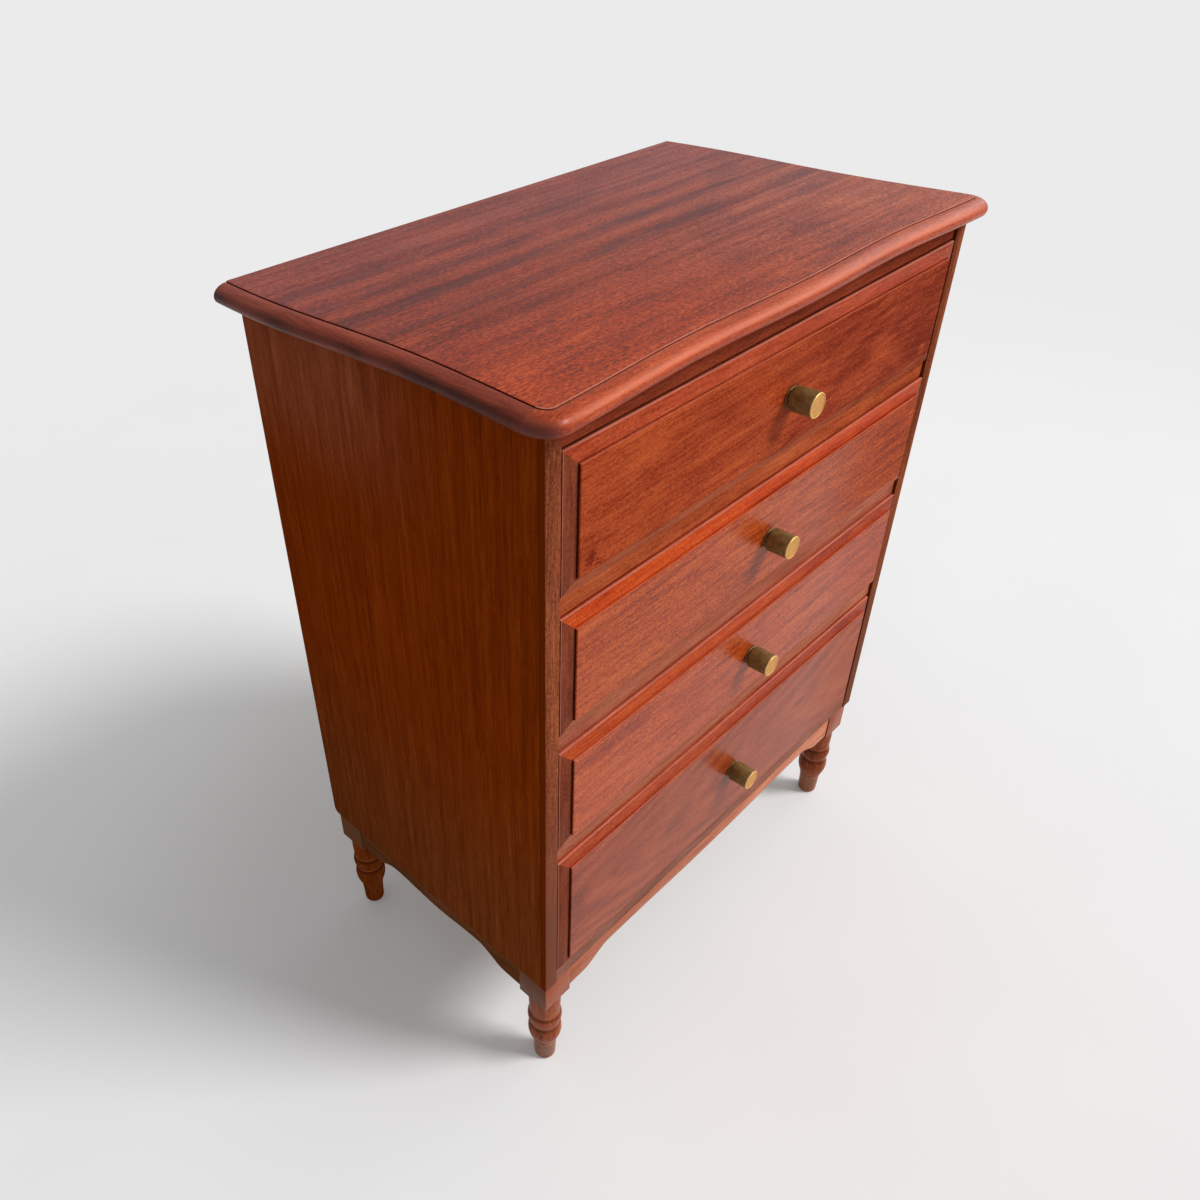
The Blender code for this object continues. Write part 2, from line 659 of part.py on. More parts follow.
def build_chest():
    """Every piece, from the floor up and from the top drawer down."""
    carcass = add_anchor("carcass", (0, 0, 0))
    build_top(carcass)
    build_sides(carcass)
    build_back(carcass)
    build_cleats(carcass)
    build_legs(carcass)
    build_aprons(carcass)
    rail_bottom = CARCASS_TOP - RAIL_HEIGHT
    build_rail("top_rail", rail_bottom, RAIL_HEIGHT, RAIL_SETBACK, carcass)
    for number in range(1, DRAWER_COUNT + 1):
        is_last = number == DRAWER_COUNT
        height = BOTTOM_DRAWER_HEIGHT if is_last else DRAWER_HEIGHT
        bottom = rail_bottom - REVEAL - height
        rail_top = bottom - REVEAL
        if is_last:
            build_rail("bottom_rail", CARCASS_BOTTOM, BOTTOM_RAIL_HEIGHT, BOTTOM_RAIL_SETBACK, carcass)
        else:
            rail_bottom = rail_top - RAIL_HEIGHT
            build_rail(f"rail_under_drawer_{number}", rail_bottom, RAIL_HEIGHT, RAIL_SETBACK, carcass)
        build_runners(number, rail_top, carcass)
        build_drawer(number, bottom, height, carcass)


build_chest()
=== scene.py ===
"""Tallboy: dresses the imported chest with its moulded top, fielded fronts, turned legs and finishes."""

import math

import bmesh
import bpy
from mathutils import Matrix, Vector


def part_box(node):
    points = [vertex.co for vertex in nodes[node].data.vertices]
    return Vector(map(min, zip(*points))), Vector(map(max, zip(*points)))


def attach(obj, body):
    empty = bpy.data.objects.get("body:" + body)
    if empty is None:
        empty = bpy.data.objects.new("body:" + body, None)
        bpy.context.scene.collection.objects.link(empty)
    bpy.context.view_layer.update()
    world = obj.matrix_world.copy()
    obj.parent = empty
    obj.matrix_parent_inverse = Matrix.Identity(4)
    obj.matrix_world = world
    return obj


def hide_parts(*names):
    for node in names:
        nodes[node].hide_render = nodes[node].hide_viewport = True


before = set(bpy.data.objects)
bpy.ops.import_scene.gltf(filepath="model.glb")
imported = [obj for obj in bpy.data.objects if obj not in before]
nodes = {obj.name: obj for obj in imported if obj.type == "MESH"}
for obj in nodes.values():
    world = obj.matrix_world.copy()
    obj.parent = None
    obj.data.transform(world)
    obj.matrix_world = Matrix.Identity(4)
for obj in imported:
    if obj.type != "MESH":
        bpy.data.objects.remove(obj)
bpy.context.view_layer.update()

DRAWERS = (1, 2, 3, 4)
SIDES = ("left", "right")

# Places and sizes in metres, from the CAD nodes and the part's source

TOP_LOW, TOP_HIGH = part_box("top_board")
LIPPING_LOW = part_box("left_lipping")[0]
FRONT_Y = LIPPING_LOW.y
CARCASS_HALF = -LIPPING_LOW.x
BACK_EDGE_Y = TOP_HIGH.y
EDGE_THICKNESS = 0.0200
EDGE_UNDER_RADIUS = 0.0080
EDGE_WIDTH = 0.0175
FIELD_RISE = 0.0010
FRONT_OVERHANG = 0.0190
SIDE_OVERHANG = 0.0170
TOP_CORNER_RADIUS = 0.0275
FRONT_RIPPLE = 0.0024
CORNER_FLARE = 0.0046
SIDE_RIPPLE = 0.0045
SIDE_RIPPLE_LENGTH = 0.440
SIDE_RIPPLE_PEAK = 0.375
BORDER_WIDTH = 0.016
BORDER_SLOPE = 0.0037
FIELD_PROUD = 0.0067
TURNED_HEIGHT = 0.152


# Node graphs

def colour(red, green, blue):
    """An 8 bit sRGB colour as linear RGBA."""
    shares = [value / 255 for value in (red, green, blue)]
    linear = [share / 12.92 if share <= 0.04045 else ((share + 0.055) / 1.055) ** 2.4 for share in shares]
    return (*linear, 1.0)


class Graph:
    """A material's node tree, with short calls for the nodes used here."""

    def __init__(self, name):
        self.material = bpy.data.materials.new(name)
        self.material.use_nodes = True
        self.tree = self.material.node_tree
        self.shader = self.tree.nodes["Principled BSDF"]
        coordinates = self.add("ShaderNodeTexCoord")
        self.place = coordinates.outputs["Object"]
        self.normal = coordinates.outputs["Normal"]

    def add(self, kind, **settings):
        node = self.tree.nodes.new(kind)
        for key, value in settings.items():
            setattr(node, key, value)
        return node

    def feed(self, socket, value):
        if isinstance(value, bpy.types.NodeSocket):
            self.tree.links.new(value, socket)
        else:
            socket.default_value = value

    def calculate(self, kind, operation, values):
        node = self.add(kind, operation=operation)
        for socket, value in zip(node.inputs, values):
            self.feed(socket, value)
        return node.outputs

    def maths(self, operation, *values):
        return self.calculate("ShaderNodeMath", operation, values)[0]

    def plus(self, first, second):
        return self.maths("ADD", first, second)

    def minus(self, first, second):
        return self.maths("SUBTRACT", first, second)

    def times(self, first, second):
        return self.maths("MULTIPLY", first, second)

    def size(self, value):
        return self.maths("ABSOLUTE", value)

    def away(self, value, middle):
        """How far a value is from a middle, either way."""
        return self.size(self.minus(value, middle))

    def vector(self, operation, *values):
        return self.calculate("ShaderNodeVectorMath", operation, values)["Vector"]

    def length(self, place):
        return self.calculate("ShaderNodeVectorMath", "LENGTH", [place])["Value"]

    def split(self, place):
        node = self.add("ShaderNodeSeparateXYZ")
        self.feed(node.inputs[0], place)
        return node.outputs

    def noise(self, place, scale, detail=2.0, roughness=0.5, output="Fac"):
        node = self.add("ShaderNodeTexNoise")
        self.feed(node.inputs["Vector"], self.vector("MULTIPLY", place, scale))
        node.inputs["Scale"].default_value = 1.0
        node.inputs["Detail"].default_value = detail
        node.inputs["Roughness"].default_value = roughness
        return node.outputs[output]

    def shake(self, place, scale, detail, size):
        """A wandering offset, about half the size either way."""
        drift = self.noise(place, scale, detail, output="Color")
        return self.vector("MULTIPLY", self.vector("SUBTRACT", drift, (0.5, 0.5, 0.5)), (size, size, size))

    def levels(self, value, low, high, start=0.0, end=1.0):
        """A soft change from start to end while the value goes from low to high."""
        node = self.add("ShaderNodeMapRange", interpolation_type="SMOOTHSTEP")
        amounts = {"Value": value, "From Min": low, "From Max": high, "To Min": start, "To Max": end}
        for key, amount in amounts.items():
            self.feed(node.inputs[key], amount)
        return node.outputs[0]

    def ramp(self, value, stops):
        node = self.add("ShaderNodeValToRGB")
        elements = node.color_ramp.elements
        while len(elements) < len(stops):
            elements.new(0.5)
        for element, (position, tint) in zip(elements, stops):
            element.position = position
            element.color = tint
        self.feed(node.inputs[0], value)
        return node.outputs[0]

    def mix(self, share, first, second, blend="MIX"):
        node = self.add("ShaderNodeMix", data_type="RGBA", blend_type=blend)
        for index, value in ((0, share), (6, first), (7, second)):
            self.feed(node.inputs[index], value)
        return node.outputs[2]

    def bump(self, height, strength, distance):
        node = self.add("ShaderNodeBump")
        node.inputs["Strength"].default_value = strength
        node.inputs["Distance"].default_value = distance
        self.feed(node.inputs["Height"], height)
        return node.outputs[0]

    def finish(self, tint, roughness, normal):
        """Joins what varies over the surface to the shader."""
        for key, value in (("Base Color", tint), ("Roughness", roughness), ("Normal", normal)):
            self.feed(self.shader.inputs[key], value)


# Noise scales per metre, along the grain and across it
DRIFT_SCALE = (3.0, 10.0)
BLOTCH_SCALE = (9.0, 26.0)
STREAK_SCALE = (3.5, 110.0)
HAIR_SCALE = (22.0, 480.0)
DASH_SCALE = (280.0, 620.0)
PORE_SCALE = (110.0, 900.0)
# How far one step of the seed moves the noise, in metres
SEED_SHIFT = (1.37, 0.71, 2.13)
# Tones at which timber has its dark, middle and light shade
TONE_STOPS = (0.28, 0.50, 0.72)
PORE_LEVELS = (0.62, 0.70)
PORE_SHARE = 0.25
# How far the dashes count in the bump, beside the pores
DASH_HEIGHT = 0.5
# Noise levels between which the gloss goes from one end to the other
GLOSS_LEVELS = (0.3, 0.7)
# Metal: scale of its tarnish per metre, and tones at which it has its dark and light shade
TARNISH_SCALE = (160.0, 160.0, 160.0)
METAL_STOPS = (0.35, 0.62)
# Where along x the polish of a drawer front starts to go dull, and where it is dull
DULL_START, DULL_END = -0.05, 0.33


def along(grain, lengthways, across):
    """Noise scales for x, y and z: one along the grain's axis, one across it."""
    return tuple(lengthways if axis == grain else across for axis in "XYZ")


def wood(name, dark, middle, light, grain, seed, figure=None, veil=None, cloud=0.4, streak=0.4, hair=0.5,
         dash=0.5, fleck=DASH_SCALE, wander=0.03, roughness=0.36, dulled=None, specular=0.1):
    """Polished timber: blotches, streaks, hairlines, dashes and pores, drawn out along the grain."""
    dark, middle, light = (colour(*shade) for shade in (dark, middle, light))
    graph = Graph(name)
    shifted = graph.vector("ADD", graph.place, tuple(seed * shift for shift in SEED_SHIFT))
    drift = graph.shake(shifted, along(grain, *DRIFT_SCALE), detail=2.0, size=wander)
    bent = graph.vector("ADD", shifted, drift)
    blotch = graph.noise(shifted, along(grain, *BLOTCH_SCALE), detail=3.0)
    lines = graph.noise(bent, along(grain, *STREAK_SCALE), detail=3.0, roughness=0.6)
    hairs = graph.noise(bent, along(grain, *HAIR_SCALE), roughness=0.6)
    grit = graph.noise(bent, along(grain, *fleck), detail=1.5, roughness=0.55)
    pores = graph.levels(graph.noise(bent, along(grain, *PORE_SCALE), detail=1.0), *PORE_LEVELS)
    tone = 0.5
    for share, source in ((cloud, blotch), (streak, lines), (hair, hairs), (dash, grit)):
        tone = graph.plus(tone, graph.times(graph.minus(source, 0.5), share))
    if figure:
        tone = graph.plus(tone, figure(graph, graph.vector("ADD", graph.place, drift)))
    tint = graph.ramp(tone, tuple(zip(TONE_STOPS, (dark, middle, light))))
    tint = graph.mix(graph.times(pores, PORE_SHARE), tint, dark)
    if veil:
        tint = veil(graph, tint)
    gloss = graph.levels(lines, *GLOSS_LEVELS, roughness * 1.12, roughness * 0.9)
    if dulled:
        dull = graph.levels(graph.split(graph.place)[0], DULL_START, DULL_END, 0.0, dulled)
        gloss = graph.maths("MAXIMUM", gloss, dull)
    height = graph.minus(graph.times(grit, DASH_HEIGHT), pores)
    graph.finish(tint, gloss, graph.bump(height, strength=0.14, distance=0.0003))
    graph.shader.inputs["Specular IOR Level"].default_value = specular
    return graph.material


def metal(name, dark, light, roughness, scale, metallic=1.0):
    """Aged brass or steel with fine tool marks and a patchy tarnish."""
    graph = Graph(name)
    marks = graph.noise(graph.place, scale, roughness=0.6)
    patch = graph.noise(graph.place, TARNISH_SCALE, detail=3.0, roughness=0.6)
    tone = graph.plus(graph.times(marks, 0.5), graph.times(patch, 0.5))
    tint = graph.ramp(tone, tuple(zip(METAL_STOPS, (colour(*dark), colour(*light)))))
    gloss = graph.levels(patch, *GLOSS_LEVELS, roughness * 0.85, roughness * 1.2)
    graph.finish(tint, gloss, graph.bump(marks, strength=0.2, distance=0.0002))
    graph.shader.inputs["Metallic"].default_value = metallic
    return graph.material


# Figures in the timber: each gives a swing in tone over a board

# Bands along the top: (depth, half width, strength)
TOP_BANDS = ((0.425, 0.016, -0.05), (0.352, 0.018, -0.12), (0.328, 0.010, 0.04), (0.305, 0.017, -0.13),
             (0.282, 0.010, 0.04), (0.258, 0.018, -0.19), (0.235, 0.012, 0.07), (0.208, 0.017, -0.20),
             (0.161, 0.016, -0.09), (0.080, 0.014, -0.05))
TOP_JOINT = ((0.1912, 0.0012, 0.10), (0.1882, 0.0022, -0.08))
# The share of a band's half width over which it has its full strength
BAND_CORE, JOINT_CORE = 0.15, 0.3
# Patches in which the bands show: noise scale, and levels with the share at each
BAND_PATCH_SCALE = (5.0, 20.0, 1.0)
BAND_PATCH_LEVELS = (0.36, 0.62, 0.3, 1.0)
# The knot near the front of the top, from its rim to its core
KNOT_X, KNOT_DEPTH, KNOT_STRENGTH = 0.050, 0.019, -0.16
KNOT_RIM, KNOT_CORE = 0.005, 0.001
# The share of an oval's half sizes within which it has its full strength
OVAL_CORE = 0.3
# Torn outlines: noise scale, and how far they tear on the top and on the top drawer
TEAR_SCALE = (170.0, 170.0, 170.0)
TOP_TEAR, DRAWER_TEAR = 0.010, 0.016
# Where along x the painted shade of a front starts to deepen towards the right, and where it is deepest
DEEPEN_START, DEEPEN_END = -0.25, 0.40
# Ovals on the top and bottom drawers: (x, z, half width, half height, strength)
TOP_DRAWER_PATCHES = ((0.190, 0.878, 0.045, 0.028, 0.13), (0.290, 0.862, 0.070, 0.035, -0.05),
                      (0.309, 0.843, 0.012, 0.009, 0.16), (-0.060, 0.905, 0.060, 0.024, 0.07),
                      (-0.200, 0.900, 0.090, 0.020, -0.04), (0.420, 0.890, 0.480, 0.400, -0.08),
                      (-0.320, 0.890, 0.170, 0.200, 0.065))
TOP_DRAWER_KNOTS = ((-0.318, 0.846, 0.010, 0.010, -0.26), (-0.303, 0.840, 0.008, 0.004, -0.14))
BOTTOM_DRAWER_PATCHES = ((-0.250, 0.338, 0.012, 0.010, -0.10), (0.165, 0.345, 0.020, 0.010, -0.09),
                         (-0.050, 0.300, 0.060, 0.022, 0.06), (0.080, 0.395, 0.070, 0.014, 0.07),
                         (-0.345, 0.335, 0.050, 0.110, -0.07), (0.250, 0.335, 0.150, 0.110, 0.06))
# Slanting streaks of the top drawer: where along x they set in, and their noise
SLANT = math.radians(17)
SLANT_STRENGTH = -0.11
SLANT_START = (0.03, 0.12)
SLANT_SCALE = (4.0, 1.0, 70.0)
SLANT_LEVELS = (0.50, 0.70)
# The crack that follows their slant: its rise, and its half width and reach from rim to core
CRACK_RISE = 0.7955
CRACK_STRENGTH = -0.16
CRACK_WIDTH = (0.0022, 0.0005)
CRACK_REACH = (0.032, 0.020)
# Arches of the bottom drawer: height of their tips, bend, spacing and start
ARCH_HEIGHT, ARCH_BEND, ARCH_SPACING, ARCH_START = 0.338, 32.0, 0.102, 0.25
ARCH_STRENGTH = -0.065
# How far the arches swirl, in metres, and the noise of the swirl and of their fading
ARCH_SWIRL = 0.13
SWIRL_SCALE = (7.0, 1.0, 24.0)
ARCH_FADE_SCALE = (6.0, 1.0, 14.0)
ARCH_FADE_LEVELS = (0.40, 0.60, 0.2, 1.0)


def depth_of(graph, place):
    """Distance behind the carcass front."""
    return graph.minus(graph.split(place)[1], FRONT_Y)


def bands(graph, total, depth, rows, core):
    """Adds soft bands along x to a swing in tone."""
    for middle, half, strength in rows:
        band = graph.levels(graph.away(depth, middle), half, half * core)
        total = graph.plus(total, graph.times(band, strength))
    return total


def spots(graph, place, rows):
    """Soft ovals on a drawer front."""
    total = 0.0
    for x, z, wide, high, strength in rows:
        offset = graph.vector("SUBTRACT", place, (x, 0.0, z))
        reach = graph.length(graph.vector("MULTIPLY", offset, (1 / wide, 0.0, 1 / high)))
        total = graph.plus(total, graph.times(graph.levels(reach, 1.0, OVAL_CORE), strength))
    return total


def ragged(graph, place, size):
    """Shakes a place up, so that a spot gets a torn outline."""
    return graph.vector("ADD", place, graph.shake(place, TEAR_SCALE, detail=3.0, size=size))


def ribbons(graph, place):
    """Soft bands along the back of the top, a joint between its boards and a small knot at the front."""
    patch = graph.levels(graph.noise(place, BAND_PATCH_SCALE), *BAND_PATCH_LEVELS)
    total = graph.times(bands(graph, 0.0, depth_of(graph, place), TOP_BANDS, BAND_CORE), patch)
    total = bands(graph, total, depth_of(graph, graph.place), TOP_JOINT, JOINT_CORE)
    torn = ragged(graph, graph.place, TOP_TEAR)
    knot = graph.vector("SUBTRACT", torn, (KNOT_X, FRONT_Y + KNOT_DEPTH, 0.0))
    reach = graph.length(graph.vector("MULTIPLY", knot, (1.0, 1.0, 0.0)))
    return graph.plus(total, graph.times(graph.levels(reach, KNOT_RIM, KNOT_CORE), KNOT_STRENGTH))


def right_shading(left, right):
    """A figure whose tone runs from one swing at the left to another at the right: painted shade, darker
    towards the right.
    """
    return lambda graph, place: graph.levels(graph.split(place)[0], DEEPEN_START, DEEPEN_END, left, right)


# Painted shade on fronts, borders and rails, darker towards the right
rightward_shade = right_shading(0.03, -0.07)
far_rightward_shade = right_shading(0.04, -0.14)


def top_drawer_figure(graph, place):
    """Slanting streaks and soft patches at the right, a crack below the knob and a knot at the lower left."""
    x, _, z = graph.split(place)
    level, tilt = math.cos(SLANT), math.sin(SLANT)
    rise = graph.minus(graph.times(z, level), graph.times(x, tilt))
    run = graph.plus(graph.times(x, level), graph.times(z, tilt))
    slanted = graph.add("ShaderNodeCombineXYZ")
    graph.feed(slanted.inputs["X"], run)
    graph.feed(slanted.inputs["Z"], rise)
    streaks = graph.noise(slanted.outputs[0], SLANT_SCALE, detail=3.0, roughness=0.6)
    streaks = graph.times(graph.levels(streaks, *SLANT_LEVELS), graph.levels(x, *SLANT_START))
    streaks = graph.times(streaks, SLANT_STRENGTH)
    total = graph.plus(streaks, spots(graph, place, TOP_DRAWER_PATCHES))
    total = graph.plus(total, spots(graph, ragged(graph, place, DRAWER_TEAR), TOP_DRAWER_KNOTS))
    crack = graph.levels(graph.away(rise, CRACK_RISE), *CRACK_WIDTH)
    crack = graph.times(crack, graph.levels(graph.size(x), *CRACK_REACH))
    return graph.plus(total, graph.times(crack, CRACK_STRENGTH))


def bottom_drawer_figure(graph, place):
    """Soft nested arches on their side, opening to the right, and a few soft patches."""
    x, _, z = graph.split(place)
    swirl = graph.times(graph.minus(graph.noise(place, SWIRL_SCALE, detail=3.0), 0.5), ARCH_SWIRL)
    drop = graph.minus(z, ARCH_HEIGHT)
    bow = graph.times(graph.times(drop, drop), ARCH_BEND)
    ripple = graph.plus(graph.minus(x, bow), swirl)
    wave = graph.maths("SINE", graph.times(graph.plus(ripple, ARCH_START), 2 * math.pi / ARCH_SPACING))
    fade = graph.levels(graph.noise(place, ARCH_FADE_SCALE, detail=1.0), *ARCH_FADE_LEVELS)
    arches = graph.times(graph.times(wave, fade), ARCH_STRENGTH)
    return graph.plus(arches, spots(graph, place, BOTTOM_DRAWER_PATCHES))


# Veils: each changes a board's colour by zone

# Factors on red, green and blue
ORANGER_TOP = (1.75, 1.60, 0.85, 1.0)
PURPLER_TOP = (0.73, 1.0, 2.6, 1.0)
PALER_TOP = (1.36, 2.30, 3.50, 1.0)
PALER_APRON = (1.34, 1.50, 1.42, 1.0)
# Factors for the side panel's painted grey sheen, standing for reflection
SHEEN_TOP_OF_SIDE = (1.25, 2.1, 14.0, 1.0)
SHEEN_FOOT_OF_SIDE = (0.86, 1.55, 6.0, 1.0)
# Shades
# A dark brown: stain in the moulding's end patches, and painted shade where the moulding turns down
DARK_STAIN_AND_SHADE = colour(54, 22, 17)
PALE_UNDER_EDGE = colour(132, 98, 62)
# Painted highlight along the front moulding's crest
PAINTED_CREST_HIGHLIGHT = colour(212, 110, 74)
TURNING_CORNER = colour(138, 60, 42)
LOW_LIPPING = colour(110, 68, 54)
SIDE_VENEER = colour(104, 39, 4)
# Painted shade in the hollows of a leg's bead, and painted highlights on its rings
PAINTED_HOLLOW_SHADE = colour(64, 28, 14)
PAINTED_RING_HIGHLIGHT = colour(186, 112, 84)
RED_BLOCK = colour(152, 82, 58)
# Darker olive on a front leg block's sides: partly painted shade
OLIVE_SHADED_BLOCK = colour(100, 57, 33)
GREY_BLOCK = colour(112, 78, 56)
GREY_TOE = colour(140, 94, 70)
LIGHTER_TOE_RING = colour(178, 122, 94)
# Painted lines on a leg's bead, a highlight at each ring and shade in the hollow under it: (height, half
# width, shade)
LEG_LINES = ((0.0810, 0.0050, PAINTED_HOLLOW_SHADE), (0.1070, 0.0050, PAINTED_HOLLOW_SHADE),
             (0.0856, 0.0016, PAINTED_RING_HIGHLIGHT), (0.1108, 0.0016, PAINTED_RING_HIGHLIGHT))
LINE_CORE, LINE_SHARE = 0.3, 0.55
TOE_RING_HEIGHT = 0.0390
# Zones in metres: where a change starts and where it is complete, then the share at each if not 0 and 1
TOP_LEFT = (0.22, -0.30, 0.15, 0.6)
TOP_FRONT = (0.20, 0.03)
TOP_BACK = (0.20, 0.40, 0.0, 0.35)
TOP_RIGHT = (-0.15, 0.36, 0.0, 0.7)
TOP_NEARER = (0.36, 0.12, 0.3, 1.0)
END_FARTHER = (0.00, 0.12, 0.7, 0.95)
CREST_SPAN = (0.372, 0.310, 0.25, 1.0)
APRON_RIGHT = (-0.25, 0.32)
LIPPING_FOOT = (0.66, 0.28, 0.0, 0.85)
SIDE_TOP = (0.78, 0.96, 0.0, 0.8)
SIDE_FARTHER = (0.10, 0.30)
SIDE_FOOT = (0.62, 0.25, 0.0, 0.7)
LEG_BLOCK = (0.150, 0.154)
BACK_LEG_BLOCK = (0.150, 0.154, 0.0, 0.8)
LEG_TOE = (0.044, 0.036, 0.0, 0.75)
TOE_RING_LIGHTENING = (0.0030, 0.0012, 0.0, 0.5)
# Zones by how far the surface faces up or to the side, in the same form
TURNED_DOWN = (0.99, 0.40)
UNDERNEATH = (-0.50, -0.75, 0.0, 0.4)
CREST_SLANT = 0.62
# How far up the front moulding's crest faces where it takes its painted highlight
CREST_HIGHLIGHT_LEVELS = (0.36, 0.05, 0.0, 0.6)
CORNER_TURN = (0.10, 0.75)
CORNER_SHADE = (*TURNED_DOWN, 0.0, 0.62)
LIPPING_SIDES = (0.5, 0.9)
BLOCK_SIDES = (0.7, 0.9)
# Patches of stain on the ends of the moulding: noise scale, and levels with the share at each
END_PATCH_SCALE = (30.0, 12.0, 60.0)
END_PATCH_LEVELS = (0.38, 0.62, 0.55, 1.0)
# How strongly a front leg's block takes its two shades
RED_SHARE, OLIVE_SHARE = 0.7, 0.85


def top_tone_zones(graph, tint):
    """The top: oranger at the front left, more purple along the back, paler at the right."""
    x = graph.split(graph.place)[0]
    depth = depth_of(graph, graph.place)
    front_left = graph.times(graph.levels(x, *TOP_LEFT), graph.levels(depth, *TOP_FRONT))
    tint = graph.mix(front_left, tint, ORANGER_TOP, "MULTIPLY")
    tint = graph.mix(graph.levels(depth, *TOP_BACK), tint, PURPLER_TOP, "MULTIPLY")
    right = graph.times(graph.levels(x, *TOP_RIGHT), graph.levels(depth, *TOP_NEARER))
    return graph.mix(right, tint, PALER_TOP, "MULTIPLY")


def end_stain_and_shade(graph, tint):
    """The end grain of the top's moulding darkens in patches as it turns down, partly stain and partly
    painted shade, and is paler and more olive underneath.
    """
    upward = graph.split(graph.normal)[2]
    turned = graph.levels(upward, *TURNED_DOWN)
    patch = graph.levels(graph.noise(graph.place, END_PATCH_SCALE, detail=3.0), *END_PATCH_LEVELS)
    farther = graph.levels(depth_of(graph, graph.place), *END_FARTHER)
    tint = graph.mix(graph.times(graph.times(turned, patch), farther), tint, DARK_STAIN_AND_SHADE)
    return graph.mix(graph.levels(upward, *UNDERNEATH), tint, PALE_UNDER_EDGE)


def front_edge_highlight_and_shade(graph, tint):
    """The front moulding has a painted highlight along its crest, and where it turns the corner takes the end
    grain's tone and painted shade as it turns down.
    """
    sideways, _, upward = graph.split(graph.normal)
    crest = graph.levels(graph.away(upward, CREST_SLANT), *CREST_HIGHLIGHT_LEVELS)
    from_middle = graph.size(graph.split(graph.place)[0])
    crest = graph.times(crest, graph.levels(from_middle, *CREST_SPAN))
    tint = graph.mix(crest, tint, PAINTED_CREST_HIGHLIGHT)
    corner = graph.levels(graph.size(sideways), *CORNER_TURN)
    tint = graph.mix(corner, tint, TURNING_CORNER)
    shaded = graph.times(corner, graph.levels(upward, *CORNER_SHADE))
    return graph.mix(shaded, tint, DARK_STAIN_AND_SHADE)


def paler_right(graph, tint):
    """The front apron grows paler to the right."""
    share = graph.levels(graph.split(graph.place)[0], *APRON_RIGHT)
    return graph.mix(share, tint, PALER_APRON, "MULTIPLY")


def veneered_sides(graph, tint):
    """The lipping greys towards its foot, and its sides have the side panel's veneer."""
    low = graph.levels(graph.split(graph.place)[2], *LIPPING_FOOT)
    tint = graph.mix(low, tint, LOW_LIPPING)
    sideways = graph.size(graph.split(graph.normal)[0])
    return graph.mix(graph.levels(sideways, *LIPPING_SIDES), tint, SIDE_VENEER)


def painted_side_sheen(graph, tint):
    """The side panel has a painted grey sheen, standing for reflection, towards the back at its top and
    towards its foot.
    """
    z = graph.split(graph.place)[2]
    farther = graph.levels(depth_of(graph, graph.place), *SIDE_FARTHER)
    high = graph.times(graph.levels(z, *SIDE_TOP), farther)
    tint = graph.mix(high, tint, SHEEN_TOP_OF_SIDE, "MULTIPLY")
    return graph.mix(graph.levels(z, *SIDE_FOOT), tint, SHEEN_FOOT_OF_SIDE, "MULTIPLY")


def painted_leg_lines(graph, tint):
    """Painted highlights on the rings at each end of a leg's bead, with painted shade in the hollow under
    each.
    """
    z = graph.split(graph.place)[2]
    for height, half, shade in LEG_LINES:
        line = graph.levels(graph.away(z, height), half, half * LINE_CORE, 0.0, LINE_SHARE)
        tint = graph.mix(line, tint, shade)
    return tint


def leg_zones(graph, tint):
    """A front leg's square block is redder, darker and olive on its sides, partly as painted shade, and its
    toe greyer with a lighter ring.
    """
    tint = painted_leg_lines(graph, tint)
    z = graph.split(graph.place)[2]
    block = graph.levels(z, *LEG_BLOCK)
    tint = graph.mix(graph.times(block, RED_SHARE), tint, RED_BLOCK)
    sideways = graph.levels(graph.size(graph.split(graph.normal)[0]), *BLOCK_SIDES)
    tint = graph.mix(graph.times(graph.times(block, sideways), OLIVE_SHARE), tint, OLIVE_SHADED_BLOCK)
    tint = graph.mix(graph.levels(z, *LEG_TOE), tint, GREY_TOE)
    ring = graph.levels(graph.away(z, TOE_RING_HEIGHT), *TOE_RING_LIGHTENING)
    return graph.mix(ring, tint, LIGHTER_TOE_RING)


def back_leg_zones(graph, tint):
    """A back leg's square block is greyer than its turned part."""
    block = graph.levels(graph.split(graph.place)[2], *BACK_LEG_BLOCK)
    return graph.mix(block, painted_leg_lines(graph, tint), GREY_BLOCK)


# Materials: dark, middle and light shade, grain, seed, and what differs from plain timber

